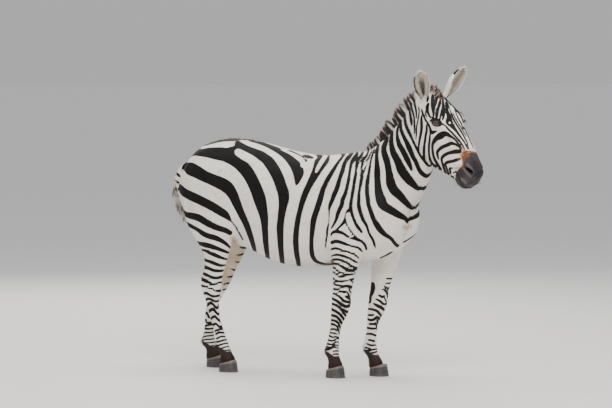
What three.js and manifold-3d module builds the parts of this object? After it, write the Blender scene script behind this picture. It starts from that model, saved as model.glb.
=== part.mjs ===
// A life-size plains zebra standing still on its four hooves, its head turned a little to its right.
// Millimetres. +X is forward, +Y the animal's left, +Z up. The floor is z = 0, and the origin is on it, under the
// middle of the animal's box.
//
// The flesh is a few lofts through cross sections, swollen where muscles and bones stand out. They are joined into
// one body, which thin cuts then part into trunk, neck, head and legs. Everything is first laid out straight, and
// the turn of the neck and head is applied to each point.

import * as THREE from "three";
import { mergeVertices } from "three/addons/utils/BufferGeometryUtils.js";
import Module from "manifold-3d";

const wasm = await Module();
wasm.setup();

// ---- Driving dimensions -------------------------------------------------------------------------------------

const GAP = 0.35; // left between neighbouring pieces
const BOX_MIDDLE = { x: 164.5, y: -14 }; // the middle of the animal's box, which becomes the origin

const TURN_DEG = 22; // the head's turn to the right
const TURN_FROM_X = 430; // the neck bends between these two stations
const TURN_TO_X = 880;

const POLL = { x: 896, z: 1618 }; // top of the head, between the ears
const FACE_PITCH_DEG = 47; // the face's slope below the horizontal
const HEAD_SCALE = 1.04;

const EYE = { radius: 23, down: 193, side: 81, height: -31 };
const NOSTRIL = { down: 517, side: 44, height: -42, reach: [24, 14, 9], slant: -12 };
const MOUTH = { from: 456, to: 600, height: -127, slope: 16, thick: 3, deep: 9 };

const EAR = { width: 92, wall: 4, down: 16, side: 70 };
// Each ear's length, its foot above the face's line, its lean ahead and outward for each unit up it, and its
// opening's turn outward from straight ahead.
const EARS = [
  { name: "right", side: -1, length: 169, foot: -28, ahead: 0.35, outward: 0.52, turnDeg: 41 },
  { name: "left", side: 1, length: 180, foot: -4, ahead: 0.42, outward: 0.55, turnDeg: 14 },
];

const MANE = { baseHalf: 19, topHalf: 7, rings: 28, tuft: 7 };
const MANE_HEIGHTS = [26, 72, 82, 80, 70, 50]; // at the stations of the neck's crest
const FORELOCK = { baseHalf: 26, topHalf: 12, rings: 8, tuft: 5 };

// The tail's path: x, y, z and radius. It hangs from the rump and swings to the left.
const DOCK = [
  [-735, 0, 1196, 26],
  [-804, 1, 1172, 30],
  [-858, 4, 1106, 27],
  [-876, 14, 1030, 24],
  [-868, 46, 955, 20],
  [-850, 80, 900, 16],
];
const TASSEL = [
  [-853, 74, 912, 17],
  [-832, 112, 860, 26],
  [-812, 146, 780, 33],
  [-800, 170, 690, 33],
  [-792, 186, 610, 24],
  [-786, 196, 545, 8],
];

// Cross sections of the trunk: x, top, bottom, height of the widest place, half width, squareness above and below.
const TRUNK = [
  [-804, 1112, 1000, 1060, 50, 2.0, 2.0],
  [-790, 1160, 935, 1050, 104, 2.0, 2.0],
  [-756, 1226, 892, 1050, 150, 2.0, 2.0],
  [-700, 1284, 830, 1050, 184, 2.0, 2.0],
  [-610, 1326, 772, 1050, 205, 2.05, 2.0],
  [-500, 1344, 742, 1040, 214, 2.1, 2.0],
  [-390, 1344, 716, 1020, 219, 2.05, 2.0],
  [-280, 1328, 674, 985, 230, 2.0, 2.05],
  [-160, 1300, 632, 960, 244, 2.0, 2.1],
  [-20, 1269, 616, 945, 250, 2.0, 2.1],
  [120, 1257, 624, 945, 243, 2.0, 2.1],
  [240, 1266, 638, 945, 226, 1.95, 2.1],
  [350, 1283, 648, 935, 205, 1.85, 2.1],
  [440, 1280, 660, 925, 196, 1.8, 2.1],
  [530, 1210, 690, 920, 188, 2.0, 2.1],
  [605, 1120, 738, 920, 164, 2.1, 2.1],
  [655, 1045, 796, 920, 124, 2.1, 2.1],
  [682, 985, 860, 922, 60, 2.0, 2.0],
];

// Cross sections of the neck: crest x and z, throat x and z, half width, squareness above and below.
const NECK = [
  [300, 1240, 540, 760, 130, 2.0, 2.2],
  [405, 1284, 650, 862, 134, 1.9, 2.2],
  [525, 1362, 722, 985, 114, 1.8, 2.2],
  [605, 1438, 784, 1075, 98, 1.8, 2.2],
  [672, 1510, 824, 1155, 89, 1.8, 2.2],
  [738, 1574, 848, 1220, 84, 1.9, 2.2],
  [806, 1618, 874, 1290, 80, 2.0, 2.2],
  [876, 1600, 905, 1370, 70, 2.0, 2.2],
];

// Cross sections of the head, square to the face: distance from the poll, face, jaw, height of the widest place,
// half width, squareness above and below. Heights are above the line of the face.
const HEAD = [
  [-16, -22, -110, -56, 48, 2.0, 2.0],
  [8, -4, -176, -58, 76, 2.1, 2.0],
  [46, 8, -238, -62, 89, 2.2, 2.1],
  [92, 15, -272, -62, 94, 2.4, 2.3],
  [140, 17, -288, -62, 96, 2.6, 2.4],
  [186, 15, -292, -64, 93, 2.6, 2.4],
  [240, 15, -285, -72, 85, 2.5, 2.4],
  [300, 18, -264, -74, 75, 2.4, 2.4],
  [360, 19, -230, -70, 67, 2.4, 2.4],
  [415, 13, -199, -68, 61, 2.4, 2.4],
  [462, 2, -182, -70, 61, 2.6, 2.4],
  [502, -11, -181, -76, 62, 2.6, 2.4],
  [532, -27, -168, -82, 57, 2.5, 2.4],
  [553, -47, -147, -90, 45, 2.3, 2.3],
  [563, -70, -120, -93, 24, 2.0, 2.0],
];

// Cross sections of the right legs: height, front x, rear x, half width, middle's distance from the midline.
const FORE_LEG = [
  [1080, 560, 330, 40, 110],
  [1000, 585, 282, 62, 126],
  [915, 600, 262, 76, 134],
  [835, 560, 248, 76, 142],
  [765, 490, 243, 70, 150],
  [705, 448, 258, 62, 152],
  [643, 424, 266, 53, 149],
  [547, 388, 260, 45, 141],
  [479, 370, 254, 41, 134],
  [425, 363, 245, 43, 130],
  [378, 350, 239, 40, 127],
  [335, 323, 236, 35, 124],
  [282, 294, 229, 27, 120],
  [215, 283, 211, 27, 117],
  [180, 280, 200, 30, 116],
  [150, 278, 193, 34, 115],
  [112, 284, 208, 30, 113],
  [82, 297, 214, 34, 111],
  [60, 300, 210, 38, 110],
  [26, 292, 216, 34, 110],
];
const HIND_LEG = [
  [1190, -400, -700, 50, 112],
  [1100, -350, -755, 74, 122],
  [1000, -338, -756, 86, 128],
  [910, -346, -738, 90, 132],
  [830, -374, -704, 86, 136],
  [760, -406, -650, 76, 141],
  [700, -426, -600, 61, 145],
  [632, -446, -588, 47, 146],
  [562, -468, -603, 38, 144],
  [512, -478, -619, 43, 142],
  [458, -489, -604, 42, 138],
  [400, -505, -586, 31, 132],
  [325, -506, -570, 25, 124],
  [244, -484, -545, 24, 117],
  [185, -463, -531, 29, 115],
  [148, -446, -535, 35, 114],
  [108, -428, -506, 30, 112],
  [82, -412, -500, 33, 111],
  [60, -408, -506, 37, 110],
  [26, -416, -498, 33, 110],
];
// Hooves: height at the front, height at the heel, front x, rear x, half width.
const FORE_HOOF = [
  [0, 0, 313, 200, 47],
  [34, 22, 308, 201, 45],
  [70, 44, 302, 204, 42],
];
const HIND_HOOF = [
  [0, 0, -394, -508, 45],
  [34, 22, -399, -507, 43],
  [70, 44, -405, -503, 40],
];

// How far the left legs stand forward of the right ones, at each height.
const LEFT_FORE_SHIFT = [[0, 160], [110, 132], [150, 120], [335, 98], [547, 90], [700, 86], [800, 50], [950, 0]];
const LEFT_HIND_SHIFT = [
  [0, -222], [110, -236], [150, -238], [335, -178],
  [500, -110], [700, -62], [900, -18], [1000, 0],
];

// The planes that part the body, each through a point at the right side's height, with its normal.
const NECK_BASE = { at: [430, 0, 1330], normal: [410, 0, 238] };
const HEAD_BASE = { at: [862, 0, 1640], normal: [390, 0, -90] };
const THROAT_LATCH = { at: [776, 0, 1262], normal: [40, 0, 90] };
const ELBOW = { at: [350, 100, 688], normal: [0, 0.36, -1] };
const STIFLE = { at: [-370, 100, 738], normal: [-0.3, 0.25, -1] };

// Swellings of the straight animal: place on its left side, reach and height.
const SWELLINGS = [
  { at: [400, 190, 1060], reach: [90, 120, 170], by: 12 }, // shoulder blade
  { at: [580, 150, 900], reach: [80, 90, 80], by: 16 }, // point of the shoulder
  { at: [330, 200, 880], reach: [90, 90, 100], by: 14 }, // triceps
  { at: [-560, 200, 1060], reach: [150, 120, 150], by: 14 }, // haunch
  { at: [-360, 200, 1230], reach: [70, 80, 60], by: 12 }, // point of the hip
  { at: [-400, 180, 840], reach: [70, 80, 80], by: 10 }, // stifle
  { at: [650, 70, 880], reach: [80, 60, 90], by: 12 }, // breast
];

// Swellings of the head, in its own measures: down the face, to the side, above the face's line.
const HEAD_SWELLINGS = [
  { at: [166, 88, -2], reach: [42, 32, 24], by: 24 }, // brow
  { at: [206, 80, -56], reach: [36, 30, 18], by: 6 }, // lower rim of the eye's socket
  { at: [160, 70, -190], reach: [80, 50, 70], by: 7 }, // cheek
  { at: [505, 46, -46], reach: [34, 26, 26], by: 7 }, // nostril
  { at: [536, 0, -152], reach: [24, 46, 14], by: 4 }, // lower lip
];

// ---- Small tools --------------------------------------------------------------------------------------------

const rad = THREE.MathUtils.degToRad;
const vec = (x, y, z) => new THREE.Vector3(x, y, z);

// A smooth curve through rows of numbers, sampled by place from 0, the first row, to 1, the last. Each column
// follows a cubic whose slopes never overshoot its rows.
function through(rows) {
  const last = rows.length - 1;
  const slope = (i, k) => {
    if (i === 0) return rows[1][k] - rows[0][k];
    if (i === last) return rows[last][k] - rows[last - 1][k];
    const a = rows[i][k] - rows[i - 1][k];
    const b = rows[i + 1][k] - rows[i][k];
    return a * b <= 0 ? 0 : (2 * a * b) / (a + b);
  };
  return (place) => {
    const t = THREE.MathUtils.clamp(place, 0, 1) * last;
    const i = Math.min(Math.floor(t), last - 1);
    const u = t - i;
    const u2 = u * u;
    const u3 = u2 * u;
    return rows[i].map((start, k) => {
      const end = rows[i + 1][k];
      const value = start * (2 * u3 - 3 * u2 + 1) + end * (3 * u2 - 2 * u3);
      return value + slope(i, k) * (u3 - 2 * u2 + u) + slope(i + 1, k) * (u3 - u2);
    });
  };
}

// The value at x of straight lines through [x, value] pairs.
function along(pairs, x) {
  const next = pairs.findIndex(([at]) => x < at);
  if (next === 0) return pairs[0][1];
  if (next < 0) return pairs[pairs.length - 1][1];
  const [x0, v0] = pairs[next - 1];
  const [x1, v1] = pairs[next];
  return THREE.MathUtils.lerp(v0, v1, (x - x0) / (x1 - x0));
}

// The angle of the neck's bend at a station of the straight animal.
const turnAt = (x) => rad(TURN_DEG) * THREE.MathUtils.smoothstep(x, TURN_FROM_X, TURN_TO_X);

// Where the turn of the neck and head carries a point of the straight animal, in the frame of the whole.
function turned(p) {
  const steps = 24;
  const reach = Math.max(0, p.x - TURN_FROM_X);
  const start = vec(p.x - reach, 0, p.z);
  for (let i = 0; i < steps; i++) {
    const angle = turnAt(TURN_FROM_X + (reach * (i + 0.5)) / steps);
    start.x += (Math.cos(angle) * reach) / steps;
    start.y -= (Math.sin(angle) * reach) / steps;
  }
  const end = turnAt(p.x);
  return start.add(vec(Math.sin(end) * p.y - BOX_MIDDLE.x, Math.cos(end) * p.y - BOX_MIDDLE.y, 0));
}

// A point of the straight animal, from its distance down the face, its side and its height above the face's line.
function headPoint({ x: down, y: side, z: height }) {
  const pitch = rad(FACE_PITCH_DEG);
  const ahead = down * Math.cos(pitch) + height * Math.sin(pitch);
  const up = height * Math.cos(pitch) - down * Math.sin(pitch);
  return vec(POLL.x + HEAD_SCALE * ahead, HEAD_SCALE * side, POLL.z + HEAD_SCALE * up);
}

// A point pushed out at each swelling that it is near, the same on both sides.
function swollen(p, outward, swellings) {
  const moved = p.clone();
  for (const { at, reach, by } of swellings) {
    const far =
      ((p.x - at[0]) / reach[0]) ** 2 + ((Math.abs(p.y) - at[1]) / reach[1]) ** 2 + ((p.z - at[2]) / reach[2]) ** 2;
    moved.addScaledVector(outward, by * Math.exp(-far));
  }
  return moved;
}

const fleshPoint = (p, outward) => turned(swollen(p, outward, SWELLINGS));
const facePoint = (p, outward) => turned(headPoint(swollen(p, outward, HEAD_SWELLINGS)));

// A closed surface over rings of points, each end filled from its middle.
function over(rings) {
  const sides = rings[0].length;
  const middle = (ring) => ring.reduce((sum, p) => sum.add(p), vec(0, 0, 0)).divideScalar(sides);
  const points = [...rings.flat(), middle(rings[0]), middle(rings[rings.length - 1])];
  const first = points.length - 2;
  const lastRing = (rings.length - 1) * sides;
  const index = [];
  for (let k = 0; k < sides; k++) {
    const next = (k + 1) % sides;
    for (let r = 0; r < lastRing; r += sides) {
      index.push(r + k, r + next, r + k + sides, r + next, r + next + sides, r + k + sides);
    }
    index.push(first, next, k, first + 1, lastRing + k, lastRing + next);
  }
  const shape = new THREE.BufferGeometry().setFromPoints(points);
  shape.setIndex(index);
  return shape;
}

const bent = (value, power) => Math.sign(value) * Math.abs(value) ** (2 / power);

// A closed loft. section(place) gives, for a place from 0 to 1, a ring's top, bottom, centre and sideways half
// width as vectors, and its squareness above and below. grow widens it all round.
function loft(section, rings, sides, finish, grow = 0) {
  const shape = [];
  for (let r = 0; r < rings; r++) {
    const { top, bottom, centre, side, above = 2.1, below = 2.1 } = section(r / (rings - 1));
    const ring = [];
    for (let k = 0; k < sides; k++) {
      const angle = (2 * Math.PI * (k + 0.5)) / sides;
      const up = Math.sin(angle);
      const power = up > 0 ? above : below;
      const reach = up > 0 ? top.clone().sub(centre) : centre.clone().sub(bottom);
      const arm = side.clone().multiplyScalar(bent(Math.cos(angle), power)).addScaledVector(reach, bent(up, power));
      const outward = arm.clone().normalize();
      ring.push(finish(centre.clone().add(arm).addScaledVector(outward, grow), outward));
    }
    shape.push(ring);
  }
  return solid(over(shape));
}

// A closed geometry as a manifold-3d solid, whichever way round its faces are.
function solid(shape) {
  const bare = new THREE.BufferGeometry().setAttribute("position", shape.getAttribute("position"));
  bare.setIndex(shape.index);
  const merged = mergeVertices(bare, 1e-3);
  const vertProperties = merged.attributes.position.array;
  const make = (triVerts) => new wasm.Manifold(new wasm.Mesh({ numProp: 3, vertProperties, triVerts }));
  const triVerts = new Uint32Array(merged.index.array);
  const made = make(triVerts);
  return made.volume() > 0 ? made : make(triVerts.reverse());
}

// The half of space behind a plane, as a large box. The plane is one of the straight animal, on its given side.
function behind({ at, normal }, side = 1, offset = 0) {
  const size = 4000;
  const out = vec(...normal).normalize();
  const turn = turnAt(at[0]);
  const facing = vec(out.x, side * out.y, out.z).applyAxisAngle(vec(0, 0, 1), -turn);
  const box = new THREE.BoxGeometry(size, size, size);
  const upright = Math.abs(facing.z) > 0.9 ? vec(1, 0, 0) : vec(0, 0, 1);
  const matrix = new THREE.Matrix4().lookAt(facing, vec(0, 0, 0), upright);
  matrix.setPosition(turned(vec(at[0], side * at[1], at[2])).addScaledVector(facing, offset - size / 2));
  return solid(box.applyMatrix4(matrix));
}

// The largest piece of a solid, as a three.js geometry.
function geometry(made) {
  const largest = made.decompose().reduce((a, b) => (a.volume() > b.volume() ? a : b));
  const mesh = largest.getMesh();
  const points = new Float32Array(mesh.numVert * 3);
  for (let i = 0; i < mesh.numVert; i++) {
    points.set(mesh.vertProperties.subarray(i * mesh.numProp, i * mesh.numProp + 3), i * 3);
  }
  const shape = new THREE.BufferGeometry().setAttribute("position", new THREE.BufferAttribute(points, 3));
  shape.setIndex(new THREE.BufferAttribute(mesh.triVerts, 1));
  return shape;
}

// ---- Flesh --------------------------------------------------------------------------------------------------

function trunk(grow) {
  const at = through(TRUNK);
  const section = (place) => {
    const [x, top, bottom, widest, half, above, below] = at(place);
    const centre = vec(x, 0, widest);
    return { top: vec(x, 0, top), bottom: vec(x, 0, bottom), centre, side: vec(0, half, 0), above, below };
  };
  return loft(section, 25, 22, fleshPoint, grow);
}

function neck(grow) {
  const at = through(NECK);
  const section = (place) => {
    const [crestX, crestZ, throatX, throatZ, half, above, below] = at(place);
    const top = vec(crestX, 0, crestZ);
    const bottom = vec(throatX, 0, throatZ);
    return { top, bottom, centre: bottom.clone().lerp(top, 0.45), side: vec(0, half, 0), above, below };
  };
  return loft(section, 12, 18, fleshPoint, grow);
}

function head(grow) {
  const at = through(HEAD);
  const section = (place) => {
    const [down, face, jaw, widest, half, above, below] = at(place);
    const centre = vec(down, 0, widest);
    return { top: vec(down, 0, face), bottom: vec(down, 0, jaw), centre, side: vec(0, half, 0), above, below };
  };
  return loft(section, 30, 22, facePoint, grow);
}

function leg(rows, shift, side, grow) {
  const at = through(rows);
  const section = (place) => {
    const [z, front, rear, half, out] = at(place);
    const moved = side > 0 ? along(shift, z) : 0;
    const top = vec(front + moved, side * out, z);
    const bottom = vec(rear + moved, side * out, z);
    return { top, bottom, centre: bottom.clone().lerp(top, 0.5), side: vec(0, half, 0) };
  };
  return loft(section, 26, 10, fleshPoint, grow);
}

function hoof(rows, shift, side, out, grow) {
  const at = through(rows);
  const moved = side > 0 ? shift[0][1] : 0;
  const section = (place) => {
    const [frontZ, rearZ, front, rear, half] = at(place);
    const top = vec(front + moved, side * out, frontZ);
    const bottom = vec(rear + moved, side * out, rearZ);
    return { top, bottom, centre: bottom.clone().lerp(top, 0.42), side: vec(0, half, 0), above: 2, below: 2.6 };
  };
  return loft(section, 3, 16, turned, grow);
}

// ---- Features of the head -----------------------------------------------------------------------------------

// A shape laid out in the head's own measures, carried to its place on the head.
function onHead(shape) {
  const places = shape.getAttribute("position");
  for (let i = 0; i < places.count; i++) {
    const p = turned(headPoint(vec().fromBufferAttribute(places, i)));
    places.setXYZ(i, p.x, p.y, p.z);
  }
  return solid(shape);
}

function eye(side, grow) {
  const ball = new THREE.SphereGeometry(EYE.radius + grow, 12, 8);
  const at = turned(headPoint(vec(EYE.down, side * EYE.side, EYE.height)));
  return solid(ball.translate(at.x, at.y, at.z));
}

function nostril(side) {
  const hollow = new THREE.SphereGeometry(1, 10, 8).scale(...NOSTRIL.reach).rotateY(rad(NOSTRIL.slant));
  return onHead(hollow.translate(NOSTRIL.down, side * NOSTRIL.side, NOSTRIL.height));
}

// The line between the lips, cut to a shallow depth all round the muzzle.
function mouth() {
  const slit = new THREE.BoxGeometry(MOUTH.to - MOUTH.from, 300, MOUTH.thick);
  const core = new THREE.BoxGeometry(800, 400, 800).translate(MOUTH.deep * 16 + 2, 0, 0);
  const inside = head(-MOUTH.deep).intersect(onHead(core));
  slit.rotateY(rad(MOUTH.slope)).translate((MOUTH.from + MOUTH.to) / 2, 0, MOUTH.height);
  return onHead(slit).subtract(inside);
}

// A cupped ear, open to the front and rolled nearly closed at its base.
function ear({ side, length, foot, ahead, outward, turnDeg }) {
  const upright = vec(0, 0, 1);
  const heading = vec(1, 0, 0).applyAxisAngle(upright, -rad(TURN_DEG));
  const sideways = vec(0, side, 0).applyAxisAngle(upright, -rad(TURN_DEG));
  const axis = upright.clone().addScaledVector(heading, ahead).addScaledVector(sideways, outward).normalize();
  const open = heading.clone().applyAxisAngle(upright, side * rad(turnDeg));
  open.addScaledVector(axis, -open.dot(axis)).normalize();
  const across = axis.clone().cross(open);
  const base = turned(headPoint(vec(EAR.down, side * EAR.side, foot)));
  const widths = [
    [-0.2, 0.46], [0, 0.5], [0.15, 0.7], [0.35, 0.94], [0.5, 1],
    [0.68, 0.96], [0.84, 0.8], [0.94, 0.56], [1, 0.26],
  ];
  const curls = [[-0.2, 168], [0, 160], [0.2, 128], [0.5, 106], [1, 84]];
  const arc = 8;
  const rings = [];
  for (const t of [-0.2, 0, 0.12, 0.28, 0.46, 0.62, 0.76, 0.88, 0.96, 1]) {
    const curl = rad(along(curls, t));
    const radius = (EAR.width * along(widths, t)) / 2 / Math.sin(Math.min(curl, Math.PI / 2));
    const middle = base.clone().addScaledVector(axis, t * length);
    const rim = (r, k) => {
      const angle = curl * ((2 * k) / (arc - 1) - 1);
      const point = middle.clone().addScaledVector(across, r * Math.sin(angle));
      return point.addScaledVector(open, -0.8 * r * Math.cos(angle));
    };
    const ring = [];
    for (let k = 0; k < arc; k++) ring.push(rim(radius, k));
    for (let k = arc - 1; k >= 0; k--) ring.push(rim(radius - EAR.wall, k));
    rings.push(ring);
  }
  return solid(over(rings));
}

// ---- Mane and tail ------------------------------------------------------------------------------------------

// A ridge of upright hair along a path of [x, z, height] rows in the straight animal's middle plane. Every other
// ring is lower, so that the top is a row of tufts.
function ridge(rows, { baseHalf, topHalf, rings, tuft }) {
  const at = through(rows);
  const shape = [];
  for (let r = 0; r < rings; r++) {
    const place = r / (rings - 1);
    const [x, z, height] = at(place);
    const [x0, z0] = at(place - 0.03);
    const [x1, z1] = at(place + 0.03);
    const up = vec(z0 - z1, 0, x1 - x0).normalize();
    const top = Math.max(height + (r % 2 ? tuft : -tuft), 4);
    const profile = [[baseHalf, -30], [baseHalf, 0.2 * top], [topHalf, 0.88 * top], [0.3 * topHalf, top]];
    const ring = profile.map(([out, h]) => vec(x, out, z).addScaledVector(up, h));
    ring.push(...profile.map(([out, h]) => vec(x, -out, z).addScaledVector(up, h)).reverse());
    shape.push(ring.map(turned));
  }
  return solid(over(shape));
}

// A round rope of flesh or hair along a path of [x, y, z, radius] rows.
function rope(rows, rings, sides, grow = 0) {
  const at = through(rows);
  const shape = [];
  for (let r = 0; r < rings; r++) {
    const place = r / (rings - 1);
    const [x, y, z, radius] = at(place);
    const ahead = vec(...at(place + 0.02)).sub(vec(...at(place - 0.02))).normalize();
    const across = ahead.clone().cross(vec(0, 1, 0)).normalize();
    const third = ahead.clone().cross(across);
    const ring = [];
    for (let k = 0; k < sides; k++) {
      const angle = (2 * Math.PI * k) / sides;
      const arm = across.clone().multiplyScalar(Math.cos(angle)).addScaledVector(third, Math.sin(angle));
      ring.push(turned(vec(x, y, z).addScaledVector(arm, radius + grow)));
    }
    shape.push(ring);
  }
  return solid(over(shape));
}

// ---- The animal ---------------------------------------------------------------------------------------------

const group = new THREE.Group();
const hide = new THREE.MeshStandardMaterial({ color: 0xdcd5ca, roughness: 0.75, metalness: 0 });
const hair = new THREE.MeshStandardMaterial({ color: 0x3a2c26, roughness: 0.85, metalness: 0 });
const horn = new THREE.MeshStandardMaterial({ color: 0x3b3734, roughness: 0.55, metalness: 0 });
const eyeball = new THREE.MeshStandardMaterial({ color: 0x1a100c, roughness: 0.1, metalness: 0 });

function place(name, made, material) {
  const mesh = new THREE.Mesh(geometry(made), material);
  mesh.name = name;
  group.add(mesh);
}

let body = trunk(0).add(neck(0)).add(head(0));
const clearance = trunk(GAP).add(neck(GAP)).add(head(GAP)).add(head(GAP).translate([-GAP, 0, GAP]));

const LEGS = [
  { name: "fore_leg_right", side: -1, rows: FORE_LEG, shift: LEFT_FORE_SHIFT, cut: ELBOW, hoofRows: FORE_HOOF },
  { name: "fore_leg_left", side: 1, rows: FORE_LEG, shift: LEFT_FORE_SHIFT, cut: ELBOW, hoofRows: FORE_HOOF },
  { name: "hind_leg_right", side: -1, rows: HIND_LEG, shift: LEFT_HIND_SHIFT, cut: STIFLE, hoofRows: HIND_HOOF },
  { name: "hind_leg_left", side: 1, rows: HIND_LEG, shift: LEFT_HIND_SHIFT, cut: STIFLE, hoofRows: HIND_HOOF },
];

for (const { name, side, rows, shift, cut, hoofRows } of LEGS) {
  const out = rows[rows.length - 1][4];
  const below = { at: cut.at, normal: cut.normal.map((n) => -n) };
  const hoofCut = hoof(hoofRows, shift, side, out, GAP).translate([0, 0, GAP]);
  const shank = leg(rows, shift, side, 0).intersect(behind(below, side, 0)).subtract(hoofCut);
  body = body.add(leg(rows, shift, side, 0)).subtract(leg(rows, shift, side, GAP).intersect(behind(below, side, GAP)));
  place(name, shank, hide);
  place(name.replace("leg", "hoof"), hoof(hoofRows, shift, side, out, 0), horn);
}

const inFront = ({ at, normal }, offset) => behind({ at, normal: normal.map((n) => -n) }, 1, offset);
const face = body.intersect(inFront(HEAD_BASE, 0)).intersect(inFront(THROAT_LATCH, 0));
body = body.subtract(inFront(HEAD_BASE, GAP).intersect(inFront(THROAT_LATCH, GAP)));
place("trunk", body.intersect(behind(NECK_BASE)), hide);
place("neck", body.intersect(inFront(NECK_BASE, -GAP)), hide);

let skull = face.subtract(mouth());
for (const { name, side, ...stance } of EARS) {
  skull = skull.subtract(nostril(side)).subtract(eye(side, GAP));
  place(`eye_${name}`, eye(side, 0), eyeball);
  place(`ear_${name}`, ear({ side, ...stance }).subtract(clearance), hide);
}
place("head", skull, hide);

const crown = headPoint(vec(0, 0, -6));
const brow = headPoint(vec(66, 0, 8));
const parting = { at: [crown.x - 6, 0, crown.z], normal: [1, 0, 0.15] };
const crest = [...NECK.slice(1, -1).map(([x, z], i) => [x, z, MANE_HEIGHTS[i]]), [crown.x + 6, crown.z, 50]];
place("mane", ridge(crest, MANE).intersect(behind(parting)).subtract(clearance), hair);
const lock = [[crown.x - 30, crown.z, 52], [crown.x + 18, crown.z - 4, 48], [brow.x, brow.z, 14]];
place("forelock", ridge(lock, FORELOCK).subtract(behind(parting, 1, GAP)).subtract(clearance), hair);

place("tail", rope(DOCK, 10, 10).subtract(clearance).subtract(rope(TASSEL, 10, 10, GAP)), hide);
place("tail_tassel", rope(TASSEL, 10, 10).subtract(clearance), hair);

export default group;
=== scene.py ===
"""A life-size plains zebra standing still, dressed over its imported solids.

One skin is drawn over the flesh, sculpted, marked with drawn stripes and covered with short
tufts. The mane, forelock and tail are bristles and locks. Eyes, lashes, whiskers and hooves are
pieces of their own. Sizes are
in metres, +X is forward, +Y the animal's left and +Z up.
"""

from __future__ import annotations

import logging
import math
from dataclasses import dataclass, field
from enum import Enum
from functools import cached_property

import bmesh
import bpy
import numpy as np
from mathutils import Matrix, Vector

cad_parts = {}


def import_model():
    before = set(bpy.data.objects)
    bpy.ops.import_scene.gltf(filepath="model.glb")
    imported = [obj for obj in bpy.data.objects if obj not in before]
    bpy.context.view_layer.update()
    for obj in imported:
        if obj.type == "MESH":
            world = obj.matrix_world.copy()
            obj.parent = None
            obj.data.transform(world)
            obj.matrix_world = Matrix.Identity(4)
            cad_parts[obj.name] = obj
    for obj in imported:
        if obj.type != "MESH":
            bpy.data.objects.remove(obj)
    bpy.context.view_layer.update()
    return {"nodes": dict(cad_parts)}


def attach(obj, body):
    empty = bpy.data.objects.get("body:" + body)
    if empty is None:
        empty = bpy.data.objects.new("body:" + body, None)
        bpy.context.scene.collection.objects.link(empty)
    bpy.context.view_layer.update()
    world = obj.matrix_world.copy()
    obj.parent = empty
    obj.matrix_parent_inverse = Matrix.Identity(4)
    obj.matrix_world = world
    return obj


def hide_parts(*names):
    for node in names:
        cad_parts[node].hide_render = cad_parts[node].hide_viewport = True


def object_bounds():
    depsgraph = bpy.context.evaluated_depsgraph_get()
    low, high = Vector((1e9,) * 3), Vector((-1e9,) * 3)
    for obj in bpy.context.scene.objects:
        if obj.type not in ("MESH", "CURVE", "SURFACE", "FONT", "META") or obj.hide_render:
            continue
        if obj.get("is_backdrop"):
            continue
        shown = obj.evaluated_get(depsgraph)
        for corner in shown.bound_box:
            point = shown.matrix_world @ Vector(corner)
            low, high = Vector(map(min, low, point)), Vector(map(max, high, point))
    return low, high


log = logging.getLogger("zebra")
Array = np.ndarray
BODY = "root"
SIDES = {"right": -1.0, "left": 1.0}
# Depths in metres that stand for plainly dark and plainly pale hair.
DARK, PALE = 0.01, -0.01


class Slot(Enum):
    """The record's finishes."""

    HIDE = "hide"
    HAIR = "hair"
    HOOF = "hoof"
    EYE = "eye"


class Mark(Enum):
    """Point values that skin and tufts both carry."""

    STRIPE = "stripe"
    MUZZLE = "muzzle"
    RUST = "rust"
    # Painted highlight: the sheen on the upper lip and the light on the nostrils' rims.
    BLOOM = "painted_sheen"
    # Painted shade: a dark line along the mouth's crease.
    LIPS = "lips"
    TAN = "tan"
    FOOT = "foot"
    WARM = "warm"
    LID = "lid"
    # Painted shade in the nostrils and deep in the ears; on the eyeballs, the place measured out from the
    # pupil.
    HOLLOW_SHADE_AND_PUPIL = "hollow"
    LEG = "leg"
    FACE = "face"
    SHADE = "shade"
    ALONG = "along"


# ---- The drawn stripes ---------------------------------------------------------------------------
#
# A drawing sheet stands in front of the animal, seen from its front right. Each entry below is one
# stroke: its name, then place across, place down and width, over and over, in the sheet's own units.

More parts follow.
